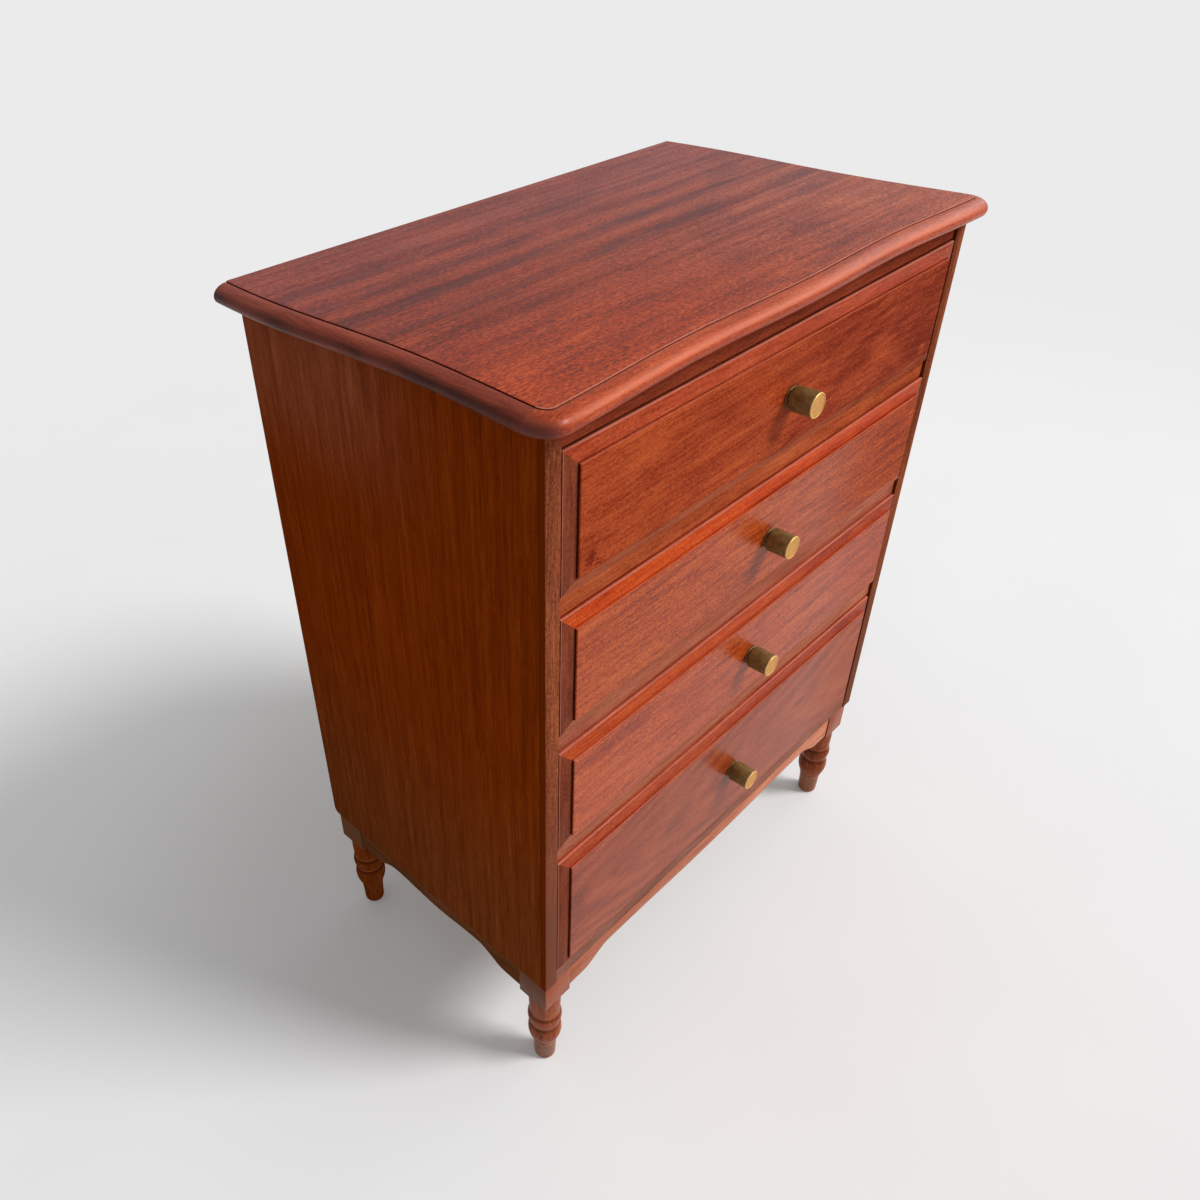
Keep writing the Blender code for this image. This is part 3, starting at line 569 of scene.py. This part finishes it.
top_wood = wood("top_wood", (88, 34, 28), (133, 48, 28), (166, 72, 40), "X", 1.0, ribbons, top_tone_zones,
                streak=0.35, hair=0.4, dash=0.9, fleck=(190.0, 540.0), wander=0.016, specular=0.07)
mould_wood = wood("mould_wood", (122, 42, 18), (164, 62, 26), (188, 86, 42), "X", 20.0, veil=front_edge_highlight_and_shade,
                  dash=0.7, roughness=0.33, specular=0.17)
end_wood = wood("end_wood", (100, 40, 28), (138, 60, 42), (160, 78, 54), "Y", 21.0, veil=end_stain_and_shade,
                dash=0.3, roughness=0.32, specular=0.08)
field_woods = {
    1: wood("field_wood_1", (109, 34, 15), (147, 58, 30), (178, 81, 41), "X", 2.0, top_drawer_figure,
            dash=0.6, roughness=0.45, specular=0.01),
    2: wood("field_wood_2", (118, 40, 15), (160, 62, 19), (184, 86, 34), "X", 3.0, rightward_shade,
            cloud=0.25, streak=0.55, hair=0.8, dash=1.0, roughness=0.28, dulled=0.75, specular=0.16),
    3: wood("field_wood_3", (122, 40, 16), (164, 63, 22), (186, 88, 38), "X", 4.0, rightward_shade,
            cloud=0.25, streak=0.55, hair=0.8, dash=1.0, roughness=0.26, dulled=0.42, specular=0.195),
    4: wood("field_wood_4", (98, 36, 17), (143, 57, 23), (170, 84, 42), "X", 5.0, bottom_drawer_figure,
            cloud=0.25, streak=0.2, hair=0.3, dash=0.6, wander=0.012, roughness=0.26, dulled=0.42,
            specular=0.17),
}
upper_border_woods = {
    1: wood("muted_border_wood", (124, 45, 23), (162, 64, 36), (187, 89, 53), "X", 25.0, rightward_shade,
            specular=0.03),
    2: wood("border_wood", (142, 42, 14), (183, 65, 23), (204, 92, 40), "X", 6.0, far_rightward_shade,
            specular=0.04),
    3: wood("dark_border_wood", (128, 41, 18), (169, 65, 30), (190, 88, 46), "X", 33.0, far_rightward_shade,
            specular=0.05),
    4: wood("red_border_wood", (112, 36, 21), (158, 62, 34), (185, 87, 49), "X", 24.0, rightward_shade,
            specular=0.08),
}
# Lower borders face down and forward: their paler, greyer shades, set drawer by drawer, are partly painted
# reflection of the pale floor and partly their own tone
low_border_sheen_woods = {
    1: wood("low_border_sheen_wood_1", (112, 50, 32), (150, 74, 50), (170, 94, 66), "X", 17.0, rightward_shade,
            specular=0.0),
    2: wood("low_border_sheen_wood_2", (128, 68, 48), (162, 92, 70), (182, 112, 88), "X", 27.0, specular=0.0),
    3: wood("low_border_sheen_wood_3", (140, 78, 60), (176, 102, 82), (194, 120, 98), "X", 28.0, specular=0.0),
    4: wood("low_border_sheen_wood_4", (110, 56, 40), (144, 80, 61), (164, 98, 76), "X", 22.0, specular=0.0),
}
stile_wood = wood("stile_wood", (92, 38, 22), (121, 57, 36), (142, 72, 46), "Z", 7.0, specular=0.03)
# A paler pink for arrises and the rounding and lip along upper borders: painted highlight
edge_highlight_wood = wood("edge_highlight_wood", (156, 80, 60), (184, 104, 84), (204, 124, 104), "X", 18.0,
                 dash=0.4, specular=0.2)
# Near black for the step walls beside a field at the ends and the top's end quirks: painted shade
groove_shade_wood = wood("groove_shade_wood", (42, 11, 6), (60, 16, 9), (80, 26, 15), "X", 19.0,
                   roughness=0.6, specular=0.02)
# Painted shade for each front's top edge in the gap under the rail and for its upper hollow; the bottom front
# takes its border's wood instead
recess_shade_woods = {
    1: wood("recess_shade_wood_1", (60, 24, 14), (84, 35, 20), (104, 48, 28), "X", 26.0, specular=0.0),
    2: wood("recess_shade_wood_2", (104, 33, 13), (134, 44, 18), (154, 60, 28), "X", 31.0, specular=0.0),
    3: wood("recess_shade_wood_3", (122, 50, 31), (154, 66, 44), (172, 84, 58), "X", 32.0, specular=0.0),
    4: upper_border_woods[4],
}
top_rail_wood = wood("top_rail_wood", (98, 41, 25), (132, 57, 36), (156, 72, 45), "X", 23.0, specular=0.0)
rail_woods = {
    1: wood("rail_wood_1", (118, 46, 26), (162, 75, 43), (184, 97, 59), "X", 8.0, far_rightward_shade,
            specular=0.0),
    2: wood("rail_wood_2", (122, 60, 40), (158, 83, 59), (178, 106, 80), "X", 29.0, rightward_shade, specular=0.03),
    3: wood("rail_wood_3", (124, 65, 45), (162, 91, 66), (183, 113, 85), "X", 30.0, specular=0.03),
}
bottom_rail_wood = wood("bottom_rail_wood", (105, 65, 53), (137, 91, 77), (157, 110, 93), "X", 9.0,
                        specular=0.0)
lipping_wood = wood("lipping_wood", (92, 43, 26), (124, 63, 40), (152, 84, 54), "Z", 10.0,
                    veil=veneered_sides, streak=0.5, hair=0.7, dash=0.7, specular=0.0)
side_wood = wood("side_wood", (88, 30, 3), (116, 44, 5), (136, 58, 11), "Z", 11.0, veil=painted_side_sheen,
                 cloud=0.14, streak=0.5, dash=0.25, wander=0.012, roughness=0.5, specular=0.0)
leg_wood = wood("leg_wood", (98, 42, 20), (142, 70, 40), (170, 92, 58), "Z", 12.0, veil=leg_zones,
                cloud=0.8, roughness=0.28, specular=0.05)
back_leg_wood = wood("back_leg_wood", (88, 36, 10), (130, 60, 20), (156, 78, 30), "Z", 12.0,
                     veil=back_leg_zones, cloud=0.8, roughness=0.35, specular=0.0)
apron_wood = wood("apron_wood", (138, 70, 45), (171, 95, 67), (195, 120, 87), "X", 13.0, veil=paler_right,
                  specular=0.04)
side_apron_wood = wood("side_apron_wood", (74, 40, 20), (103, 60, 34), (122, 74, 44), "Y", 14.0,
                       dash=0.3, roughness=0.5, specular=0.0)
box_wood = wood("box_wood", (160, 118, 74), (190, 148, 100), (208, 170, 122), "Y", 15.0,
                dash=0.4, roughness=0.6)
back_wood = wood("back_wood", (112, 74, 44), (140, 96, 60), (160, 114, 74), "X", 16.0,
                 dash=0.4, roughness=0.65)
brass_side = metal("brass_side", (90, 68, 34), (138, 109, 59), 0.5, (1800.0, 60.0, 1800.0), 0.4)
brass_face = metal("brass_face", (180, 122, 52), (210, 153, 77), 0.55, (500.0, 500.0, 500.0), 0.3)
brass_rim = metal("brass_rim", (206, 156, 84), (232, 188, 118), 0.42, (900.0, 900.0, 900.0), 0.6)
screw_steel = metal("screw_steel", (120, 118, 114), (168, 166, 160), 0.35, (1500.0, 60.0, 1500.0))


# Mesh helpers

# Widths of eased edges, in metres
SCREW_EASE = 0.0002
BACK_EASE = 0.0003
PANEL_EASE = 0.0004
RAIL_EASE = 0.0006
BOX_EASE = 0.0008
SOLID_EASE = 0.0010
EASE_SEGMENTS = 2
# Edges flatter than this many degrees aren't eased
EASE_ANGLE = 40
WELD_DISTANCE = 0.00001


def add_object(name, data):
    """A new object in the scene."""
    item = bpy.data.objects.new(name, data)
    bpy.context.scene.collection.objects.link(item)
    return item


def add_piece(name, mesh, materials, body, replaced, angle):
    """Places a new piece that rides on a body and stands for a CAD node."""
    for material in materials:
        mesh.materials.append(material)
    mesh.shade_smooth()
    mesh.set_sharp_from_angle(angle=math.radians(angle))
    piece = add_object(name, mesh)
    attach(piece, body)
    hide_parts(replaced)


def mesh_from(name, shape):
    """Turns a bmesh into a mesh with its normals outwards."""
    bmesh.ops.recalc_face_normals(shape, faces=shape.faces)
    mesh = bpy.data.meshes.new(name)
    shape.to_mesh(mesh)
    shape.free()
    return mesh


def lathe(name, profile, steps, place):
    """Turns (radius, height, material) points round an axis; place sends (x, y, height) to a point."""
    shape = bmesh.new()
    turns = [2 * math.pi * step / steps for step in range(steps)]
    rings = []
    for radius, height, _ in profile:
        ring = turns if radius else turns[:1]
        points = [(radius * math.cos(turn), radius * math.sin(turn), height) for turn in ring]
        rings.append([shape.verts.new(place(*point)) for point in points])
    for first, second, (_, _, material) in zip(rings, rings[1:], profile[1:]):
        for step in range(steps):
            following = (step + 1) % steps
            corners = [first[step % len(first)], first[following % len(first)]]
            corners += [second[following % len(second)], second[step % len(second)]]
            face = shape.faces.new(list(dict.fromkeys(corners)))
            face.material_index = material
    return mesh_from(name, shape)


def ease_edges(node, width):
    """Rounds a CAD node's edges with modifiers."""
    weld = node.modifiers.new("weld", "WELD")
    weld.merge_threshold = WELD_DISTANCE
    bevel = node.modifiers.new("eased edges", "BEVEL")
    bevel.width = width
    bevel.segments = EASE_SEGMENTS
    bevel.limit_method = "ANGLE"
    bevel.angle_limit = math.radians(EASE_ANGLE)
    bevel.harden_normals = True
    node.data.shade_smooth()


def finish_node(name, material, width):
    """Gives a carried-over CAD node its material and eased edges."""
    node = nodes[name]
    for holder in node.material_slots:
        holder.material = material
    ease_edges(node, width)


# Moulded top

SIDE_STEPS, CORNER_STEPS, FRONT_STEPS = 40, 12, 80
UNDER_STEPS, CROWN_STEPS = 6, 14
# How far in the underside's outer strip reaches
UNDER_INSET = 0.030
# Inside the moulding: (further in than EDGE_WIDTH, above the moulding's rim, part that ends there)
TOP_STEP = (
    (-0.0010, -0.0001, "edge"),
    (-0.0006, -0.0006, "quirk"),
    (0.0, -0.0008, "quirk"),
    (0.0001, FIELD_RISE - 0.0005, "quirk"),
    (0.0003, FIELD_RISE - 0.0001, "arris"),
    (0.0013, FIELD_RISE, "arris"),
    (0.0040, FIELD_RISE, "field"),
)
# The top's quirk takes darker woods as painted shade, near black on the ends and the stile's wood at the
# front; its front arris takes a paler wood as painted highlight
TOP_FIELD, FRONT_EDGE, END_EDGE, END_QUIRK, FRONT_ARRIS, FRONT_QUIRK = range(6)
TOP_MATERIALS = (top_wood, mould_wood, end_wood, groove_shade_wood, edge_highlight_wood, stile_wood)
# Materials by part, where they differ from the field's
FRONT_PARTS = {"edge": FRONT_EDGE, "quirk": FRONT_QUIRK, "arris": FRONT_ARRIS}
END_PARTS = {"edge": END_EDGE, "quirk": END_QUIRK}


def front_swell(share):
    """How far the front edge stands out, at a share of the half width from the middle."""
    return FRONT_RIPPLE * math.cos(2 * math.pi * share) - CORNER_FLARE * (1 - share * share)


def side_swell(depth):
    """How far a side edge stands out, at a depth behind the carcass front."""
    return SIDE_RIPPLE * math.cos(2 * math.pi * (depth - SIDE_RIPPLE_PEAK) / SIDE_RIPPLE_LENGTH)


def top_ring(inset):
    """The top's plan, drawn in by an inset, from the back right round the front to the back left."""
    radius = TOP_CORNER_RADIUS - inset
    half = CARCASS_HALF + SIDE_OVERHANG - inset
    front = FRONT_Y - FRONT_OVERHANG + inset
    corner_y = front + radius
    corner_x = half + side_swell(corner_y - FRONT_Y) - radius
    right = []
    for step in range(SIDE_STEPS):
        y = BACK_EDGE_Y + (corner_y - BACK_EDGE_Y) * step / SIDE_STEPS
        right.append((half + side_swell(y - FRONT_Y), y))
    reach = radius + front_swell(1)
    for step in range(CORNER_STEPS):
        turn = math.pi / 2 * step / CORNER_STEPS
        right.append((corner_x + radius * math.cos(turn), corner_y - reach * math.sin(turn)))
    middle = []
    for step in range(FRONT_STEPS + 1):
        share = 1 - 2 * step / FRONT_STEPS
        middle.append((corner_x * share, front - front_swell(share)))
    return right + middle + [(-x, y) for x, y in reversed(right)]


def top_profile():
    """The edge as (inset, height, part) rows: round under edge, elliptical crown, quirk, step and field."""
    rows = [(UNDER_INSET, 0.0, "edge")]
    for step in range(UNDER_STEPS):
        turn = math.pi / 2 * step / UNDER_STEPS
        inset = EDGE_UNDER_RADIUS * (1 - math.sin(turn))
        rows.append((inset, EDGE_UNDER_RADIUS * (1 - math.cos(turn)), "edge"))
    crown = EDGE_THICKNESS - EDGE_UNDER_RADIUS
    for step in range(CROWN_STEPS):
        turn = math.pi / 2 * step / CROWN_STEPS
        rows.append((EDGE_WIDTH * (1 - math.cos(turn)), EDGE_UNDER_RADIUS + crown * math.sin(turn), "edge"))
    return rows + [(EDGE_WIDTH + further, EDGE_THICKNESS + above, part) for further, above, part in TOP_STEP]


def build_top():
    """The moulded board: its edge profile led round the plan, and a straight back."""
    shape = bmesh.new()
    profile = top_profile()
    rings = [[shape.verts.new((x, y, TOP_LOW.z + z)) for x, y in top_ring(inset)] for inset, z, _ in profile]
    last = len(rings[0]) - 1
    for lower, upper, (_, _, part) in zip(rings, rings[1:], profile[1:]):
        for step in range(last):
            face = shape.faces.new((lower[step], lower[step + 1], upper[step + 1], upper[step]))
            on_front = SIDE_STEPS <= step < last - SIDE_STEPS
            face.material_index = (FRONT_PARTS if on_front else END_PARTS).get(part, TOP_FIELD)
    shape.faces.new(rings[0])
    shape.faces.new(rings[-1])
    back = shape.faces.new([ring[0] for ring in rings] + [ring[-1] for ring in reversed(rings)])
    back.material_index = FRONT_EDGE
    mesh = mesh_from("moulded_top", shape)
    add_piece("moulded_top", mesh, TOP_MATERIALS, "carcass", "top_board", angle=35)


# Drawer fronts

# How much wider the gap at a drawer's right is than the others, in metres
RIGHT_GAPS = {1: 0.003, 4: 0.005}
# A front's section from its edge to its field: (inset, ahead of the carcass front, strip that ends there)
FRONT_SECTION = (
    (0.0, -0.0022, "side"),
    (0.0003, -0.0002, "round"),
    (0.0008, 0.0001, "arris"),
    (BORDER_WIDTH - 0.0012, BORDER_SLOPE - 0.0003, "slope"),
    (BORDER_WIDTH - 0.0007, BORDER_SLOPE - 0.0007, "slope"),
    (BORDER_WIDTH, BORDER_SLOPE - 0.0007, "hollow"),
    (BORDER_WIDTH + 0.0002, FIELD_PROUD - 0.0016, "wall"),
    (BORDER_WIDTH + 0.0003, FIELD_PROUD - 0.0006, "lip"),
    (BORDER_WIDTH + 0.0005, FIELD_PROUD - 0.0002, "field"),
    (BORDER_WIDTH + 0.0010, FIELD_PROUD, "field"),
)
FIELD, UPPER, LOW, STILE, EDGE_HIGHLIGHT, GROOVE_SHADE, RECESS_SHADE = range(7)


def strip_material(strip, border):
    """The material of one strip of a front, on its lower, upper or end border."""
    # Arrises, and an upper border's rounding and lip, take a painted highlight; the step walls at the ends,
    # and an upper border's gap strip and hollow, take painted shade
    if strip == "arris" or (strip in ("round", "lip") and border == UPPER):
        return EDGE_HIGHLIGHT
    if strip == "field" or (strip == "lip" and border == STILE):
        return FIELD
    if strip == "wall" and border == STILE:
        return GROOVE_SHADE
    if strip in ("side", "hollow") and border == UPPER:
        return RECESS_SHADE
    return border


def build_front(number):
    """A fielded front: eased arris, sloping mitred borders, a step and a flat field."""
    low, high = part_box(f"drawer_{number}_front")
    right = high.x - RIGHT_GAPS.get(number, 0.0)
    shape = bmesh.new()
    loops = []
    for inset, y in [(0.0, high.y)] + [(inset, FRONT_Y - ahead) for inset, ahead, _ in FRONT_SECTION]:
        corners = ((low.x + inset, low.z + inset), (right - inset, low.z + inset))
        corners += ((right - inset, high.z - inset), (low.x + inset, high.z - inset))
        loops.append([shape.verts.new((x, y, z)) for x, z in corners])
    for outer, inner, (_, _, strip) in zip(loops, loops[1:], FRONT_SECTION):
        for side, border in enumerate((LOW, STILE, UPPER, STILE)):
            after = (side + 1) % 4
            face = shape.faces.new((outer[side], outer[after], inner[after], inner[side]))
            face.material_index = strip_material(strip, border)
    shape.faces.new(loops[-1])
    shape.faces.new(loops[0]).material_index = STILE
    name = f"fielded_front_{number}"
    materials = [field_woods[number], upper_border_woods[number], low_border_sheen_woods[number], stile_wood]
    materials += [edge_highlight_wood, groove_shade_wood, recess_shade_woods[number]]
    mesh = mesh_from(name, shape)
    add_piece(name, mesh, materials, f"drawer_{number}", f"drawer_{number}_front", angle=20)


# Knobs

KNOB_SIDE, KNOB_FACE, KNOB_RIM = range(3)
KNOB_MATERIALS = (brass_side, brass_face, brass_rim)
KNOB_STEPS = 56
# Collar and neck: (radius, above the base)
KNOB_FOOT = ((0.0, 0.0), (0.0118, 0.0), (0.0122, 0.0004), (0.0122, 0.0016), (0.0118, 0.0020),
             (0.0100, 0.0023), (0.0100, 0.0038))
# Start of the barrel: (inside the full radius, above the base)
KNOB_BARREL = ((0.0008, 0.0042), (0.0002, 0.0046), (0.0, 0.0052))
# End of the barrel and rim: (inside the full radius, behind the front end, material)
KNOB_END = ((0.0, 0.0012, KNOB_SIDE), (0.0002, 0.0004, KNOB_RIM), (0.0006, 0.0, KNOB_RIM),
            (0.0013, 0.0, KNOB_RIM), (0.0017, 0.0005, KNOB_FACE), (0.0030, 0.0006, KNOB_FACE))
# Dished face: (share of the full radius, behind the front end)
KNOB_DISH = ((0.5, 0.0005), (0.0, 0.0004))


def build_knob(number):
    """A brass knob: base collar, neck groove, straight barrel and a dished, rimmed face."""
    low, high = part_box(f"drawer_{number}_knob")
    base, length = high.y, high.y - low.y
    middle_x, middle_z = (low.x + high.x) / 2, (low.z + high.z) / 2
    radius = (high.x - low.x) / 2
    profile = [(across, above, KNOB_SIDE) for across, above in KNOB_FOOT]
    profile += [(radius - inside, above, KNOB_SIDE) for inside, above in KNOB_BARREL]
    profile += [(radius - inside, length - behind, part) for inside, behind, part in KNOB_END]
    profile += [(radius * share, length - behind, KNOB_FACE) for share, behind in KNOB_DISH]
    name = f"brass_knob_{number}"
    mesh = lathe(name, profile, KNOB_STEPS, lambda x, y, height: (middle_x + x, base - height, middle_z + y))
    add_piece(name, mesh, KNOB_MATERIALS, f"drawer_{number}", f"drawer_{number}_knob", angle=30)


# Legs

LEG_STEPS = 48
# Toe: its sole's radius, how far it widens, and the height over which it does
SOLE_RADIUS, TOE_SPREAD, TOE_RISE, TOE_STEPS = 0.0112, 0.0036, 0.005, 6
# Points as (radius, height): ring above the toe, line at each end of the bead, tenon in the block
TOE_RING = [(0.0160, 0.0356), (0.0164, 0.0362), (0.0167, 0.0380), (0.0164, 0.0396)]
LOWER_LINE = [(0.0203, 0.0845), (0.0210, 0.0850), (0.0210, 0.0862)]
UPPER_LINE = [(0.0212, 0.1100), (0.0212, 0.1114), (0.0207, 0.1120)]
TENON = [(0.0206, 0.170), (0.0, 0.170)]


def rising(share):
    """From nought to one over a quarter turn."""
    return math.sin(math.pi / 2 * share)


def falling(share):
    """From one to nought over a quarter turn."""
    return math.cos(math.pi / 2 * share)


def bulging(share):
    """From nought to one and back over a half turn."""
    return math.sin(math.pi * share)


def turned_curve(wave, radius, swing, height, rise, steps, first=1):
    """Points up a curve that swings out from a radius, as a wave says."""
    shares = [step / steps for step in range(first, steps + 1)]
    return [(radius + swing * wave(share), height + rise * share) for share in shares]


def leg_profile():
    """The turned part of a leg from its sole up into the block, with a line at each side of the bead."""
    shares = [step / TOE_STEPS for step in range(1, TOE_STEPS + 1)]
    toe = [(SOLE_RADIUS + TOE_SPREAD * rising(share), TOE_RISE * (1 - falling(share))) for share in shares]
    bulb = turned_curve(rising, radius=0.0160, swing=0.0070, height=0.040, rise=0.027, steps=16, first=0)
    shoulder = turned_curve(falling, radius=0.0203, swing=0.0027, height=0.067, rise=0.016, steps=8)
    bead = turned_curve(bulging, radius=0.0206, swing=0.0027, height=0.0862, rise=0.0236, steps=16)
    neck = turned_curve(bulging, radius=0.0206, swing=0.0009, height=0.1120, rise=0.040, steps=12)
    profile = [(0.0, 0.0), (SOLE_RADIUS, 0.0)] + toe + TOE_RING + bulb + shoulder
    return profile + LOWER_LINE + bead + UPPER_LINE + neck + TENON


def build_leg(name):
    """A turned foot joined to its square block."""
    low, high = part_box(name)
    x, y = (low.x + high.x) / 2, (low.y + high.y) / 2
    shape = bmesh.new()
    bmesh.ops.create_cube(shape, size=1.0)
    size = (high.x - low.x, high.y - low.y, high.z - TURNED_HEIGHT)
    bmesh.ops.scale(shape, vec=size, verts=shape.verts)
    bmesh.ops.translate(shape, vec=(x, y, (high.z + TURNED_HEIGHT) / 2), verts=shape.verts)
    easing = {"offset": SOLID_EASE, "segments": EASE_SEGMENTS, "affect": "EDGES", "profile": 0.5}
    bmesh.ops.bevel(shape, geom=shape.edges[:], **easing)
    block = add_object(name + "_block", mesh_from(name + "_block", shape))
    profile = [(radius, height, 0) for radius, height in leg_profile()]
    turned = lathe(name + "_foot", profile, LEG_STEPS, lambda a, b, height: (x + a, y + b, height))
    foot = add_object(name + "_foot", turned)
    union = foot.modifiers.new("union", "BOOLEAN")
    union.operation = "UNION"
    union.object = block
    union.solver = "EXACT"
    joined = bpy.data.meshes.new_from_object(foot.evaluated_get(bpy.context.evaluated_depsgraph_get()))
    for part in (block, foot):
        bpy.data.objects.remove(part)
    material = leg_wood if name.startswith("front") else back_leg_wood
    add_piece("turned_" + name, joined, [material], "carcass", name, angle=40)


# Assembly

build_top()
for number in DRAWERS:
    build_front(number)
    build_knob(number)
    finish_node(f"drawer_{number}_knob_screw", screw_steel, SCREW_EASE)
    for part in ("left_side", "right_side", "back"):
        finish_node(f"drawer_{number}_{part}", box_wood, BOX_EASE)
    finish_node(f"drawer_{number}_bottom", back_wood, PANEL_EASE)
    for side in SIDES:
        finish_node(f"{side}_runner_{number}", box_wood, BOX_EASE)
for side in SIDES:
    finish_node(f"{side}_side_panel", side_wood, PANEL_EASE)
    finish_node(f"{side}_lipping", lipping_wood, SOLID_EASE)
    finish_node(f"{side}_top_cleat", box_wood, BOX_EASE)
    finish_node(f"{side}_apron", side_apron_wood, BOX_EASE)
    for row in ("front", "back"):
        build_leg(f"{row}_{side}_leg")
finish_node("top_rail", top_rail_wood, RAIL_EASE)
for number, rail_wood in rail_woods.items():
    finish_node(f"rail_under_drawer_{number}", rail_wood, RAIL_EASE)
finish_node("bottom_rail", bottom_rail_wood, RAIL_EASE)
finish_node("front_apron", apron_wood, SOLID_EASE)
finish_node("back_apron", box_wood, SOLID_EASE)
finish_node("upper_back_rail", box_wood, BOX_EASE)
finish_node("lower_back_rail", box_wood, BOX_EASE)
finish_node("back_panel", back_wood, BACK_EASE)


# Floor, light and camera

# The pale grey that the surround shows, and the world's strength as a light
SURROUND_SHADE = (0.83, 0.83, 0.83, 1)
SURROUND_LIGHT = 0.36
# Floor: half its width, its two close shades and their noise, and its fades to the surround by distance
FLOOR_HALF = 40.0
FLOOR_SHADES = ((0.3, (0.82, 0.82, 0.82, 1)), (0.7, (0.84, 0.84, 0.84, 1)))
FLOOR_NOISE_SCALE = (3.0, 3.0, 3.0)
FLOOR_ROUGHNESS = 0.9
NEAR_FADE = {"low": 0.5, "high": 1.0, "start": 0.12, "end": 0.25}
FAR_FADE = {"low": 0.9, "high": 3.2, "start": 0.0, "end": 0.75}
# Key lamp: strength, softness, tilt from upright and turn to the right, in degrees
KEY_STRENGTH, KEY_SOFTNESS, KEY_TILT, KEY_TURN = 2.53, 20, 47, 37
# Strip at the right: length and width in metres, watts, place and the point it faces
STRIP_LENGTH, STRIP_WIDTH, STRIP_WATTS = 4.6, 1.0, 44.0
STRIP_PLACE, STRIP_TARGET = (3.4, -1.52, 2.64), (0.0, -0.2, 1.0)
# Camera fitted to the photograph: lens and sensor in millimetres, shift, and turn with place
LENS, SENSOR = 30.17, 36.0
SHIFT_X, SHIFT_Y = 0.0959, 0.0035
VIEWPOINT = (
    (0.71364, 0.44460, -0.54134, -0.8938),
    (-0.69951, 0.41095, -0.58465, -0.6918),
    (-0.03747, 0.79590, 0.60427, 1.3649),
    (0.0, 0.0, 0.0, 1.0),
)


def seen_rays(tree):
    """One for rays from the camera, in a mirror or through glass, else nought."""
    rays = tree.nodes.new("ShaderNodeLightPath")
    total = rays.outputs["Is Camera Ray"]
    for kind in ("Is Glossy Ray", "Is Transmission Ray"):
        larger = tree.nodes.new("ShaderNodeMath")
        larger.operation = "MAXIMUM"
        tree.links.new(total, larger.inputs[0])
        tree.links.new(rays.outputs[kind], larger.inputs[1])
        total = larger.outputs[0]
    return total


def build_floor():
    """A plain pale floor that takes the shadow and fades to the surround's tone far out."""
    shape = bmesh.new()
    bmesh.ops.create_grid(shape, x_segments=1, y_segments=1, size=FLOOR_HALF)
    floor = add_object("floor", mesh_from("floor", shape))
    graph = Graph("floor")
    tint = graph.ramp(graph.noise(graph.place, FLOOR_NOISE_SCALE), FLOOR_SHADES)
    graph.feed(graph.shader.inputs["Base Color"], tint)
    graph.shader.inputs["Roughness"].default_value = FLOOR_ROUGHNESS
    graph.shader.inputs["Specular IOR Level"].default_value = 0.0
    shown = graph.add("ShaderNodeEmission")
    shown.inputs["Color"].default_value = SURROUND_SHADE
    blend = graph.add("ShaderNodeMixShader")
    reach = graph.length(graph.place)
    share = graph.plus(graph.levels(reach, **NEAR_FADE), graph.levels(reach, **FAR_FADE))
    graph.feed(blend.inputs[0], graph.times(seen_rays(graph.tree), share))
    graph.feed(blend.inputs[1], graph.shader.outputs[0])
    graph.feed(blend.inputs[2], shown.outputs[0])
    graph.feed(graph.tree.nodes["Material Output"].inputs["Surface"], blend.outputs[0])
    floor.data.materials.append(graph.material)


def build_lamps():
    """A soft lamp from the front right, and a strip at the right for the gloss."""
    lamp = bpy.data.lights.new("key", "SUN")
    lamp.energy = KEY_STRENGTH
    lamp.angle = math.radians(KEY_SOFTNESS)
    key = add_object("key", lamp)
    key.rotation_euler = (math.radians(KEY_TILT), 0, math.radians(KEY_TURN))
    light = bpy.data.lights.new("strip", "AREA")
    light.shape = "RECTANGLE"
    light.size, light.size_y = STRIP_LENGTH, STRIP_WIDTH
    light.energy = STRIP_WATTS
    strip = add_object("strip", light)
    strip.location = STRIP_PLACE
    strip.rotation_euler = (Vector(STRIP_TARGET) - strip.location).to_track_quat("-Z", "Y").to_euler()
    strip.visible_camera = False


def build_surround():
    """An even pale surround that lights less than it shows."""
    world = bpy.data.worlds.new("surround")
    bpy.context.scene.world = world
    world.use_nodes = True
    tree = world.node_tree
    tree.nodes.clear()
    lit = tree.nodes.new("ShaderNodeBackground")
    lit.inputs["Strength"].default_value = SURROUND_LIGHT
    lit.inputs["Color"].default_value = (1, 1, 1, 1)
    shown = tree.nodes.new("ShaderNodeBackground")
    shown.inputs["Color"].default_value = SURROUND_SHADE
    blend = tree.nodes.new("ShaderNodeMixShader")
    tree.links.new(seen_rays(tree), blend.inputs[0])
    tree.links.new(lit.outputs[0], blend.inputs[1])
    tree.links.new(shown.outputs[0], blend.inputs[2])
    output = tree.nodes.new("ShaderNodeOutputWorld")
    tree.links.new(blend.outputs[0], output.inputs[0])


def build_camera():
    """The photograph's viewpoint, from the front left and above."""
    data = bpy.data.cameras.new("camera")
    data.sensor_width = SENSOR
    data.lens = LENS
    data.shift_x, data.shift_y = SHIFT_X, SHIFT_Y
    camera = add_object("camera", data)
    camera.matrix_world = Matrix(VIEWPOINT)
    bpy.context.scene.camera = camera


build_floor()
build_lamps()
build_surround()
build_camera()
bpy.context.scene.view_settings.view_transform = "Standard"
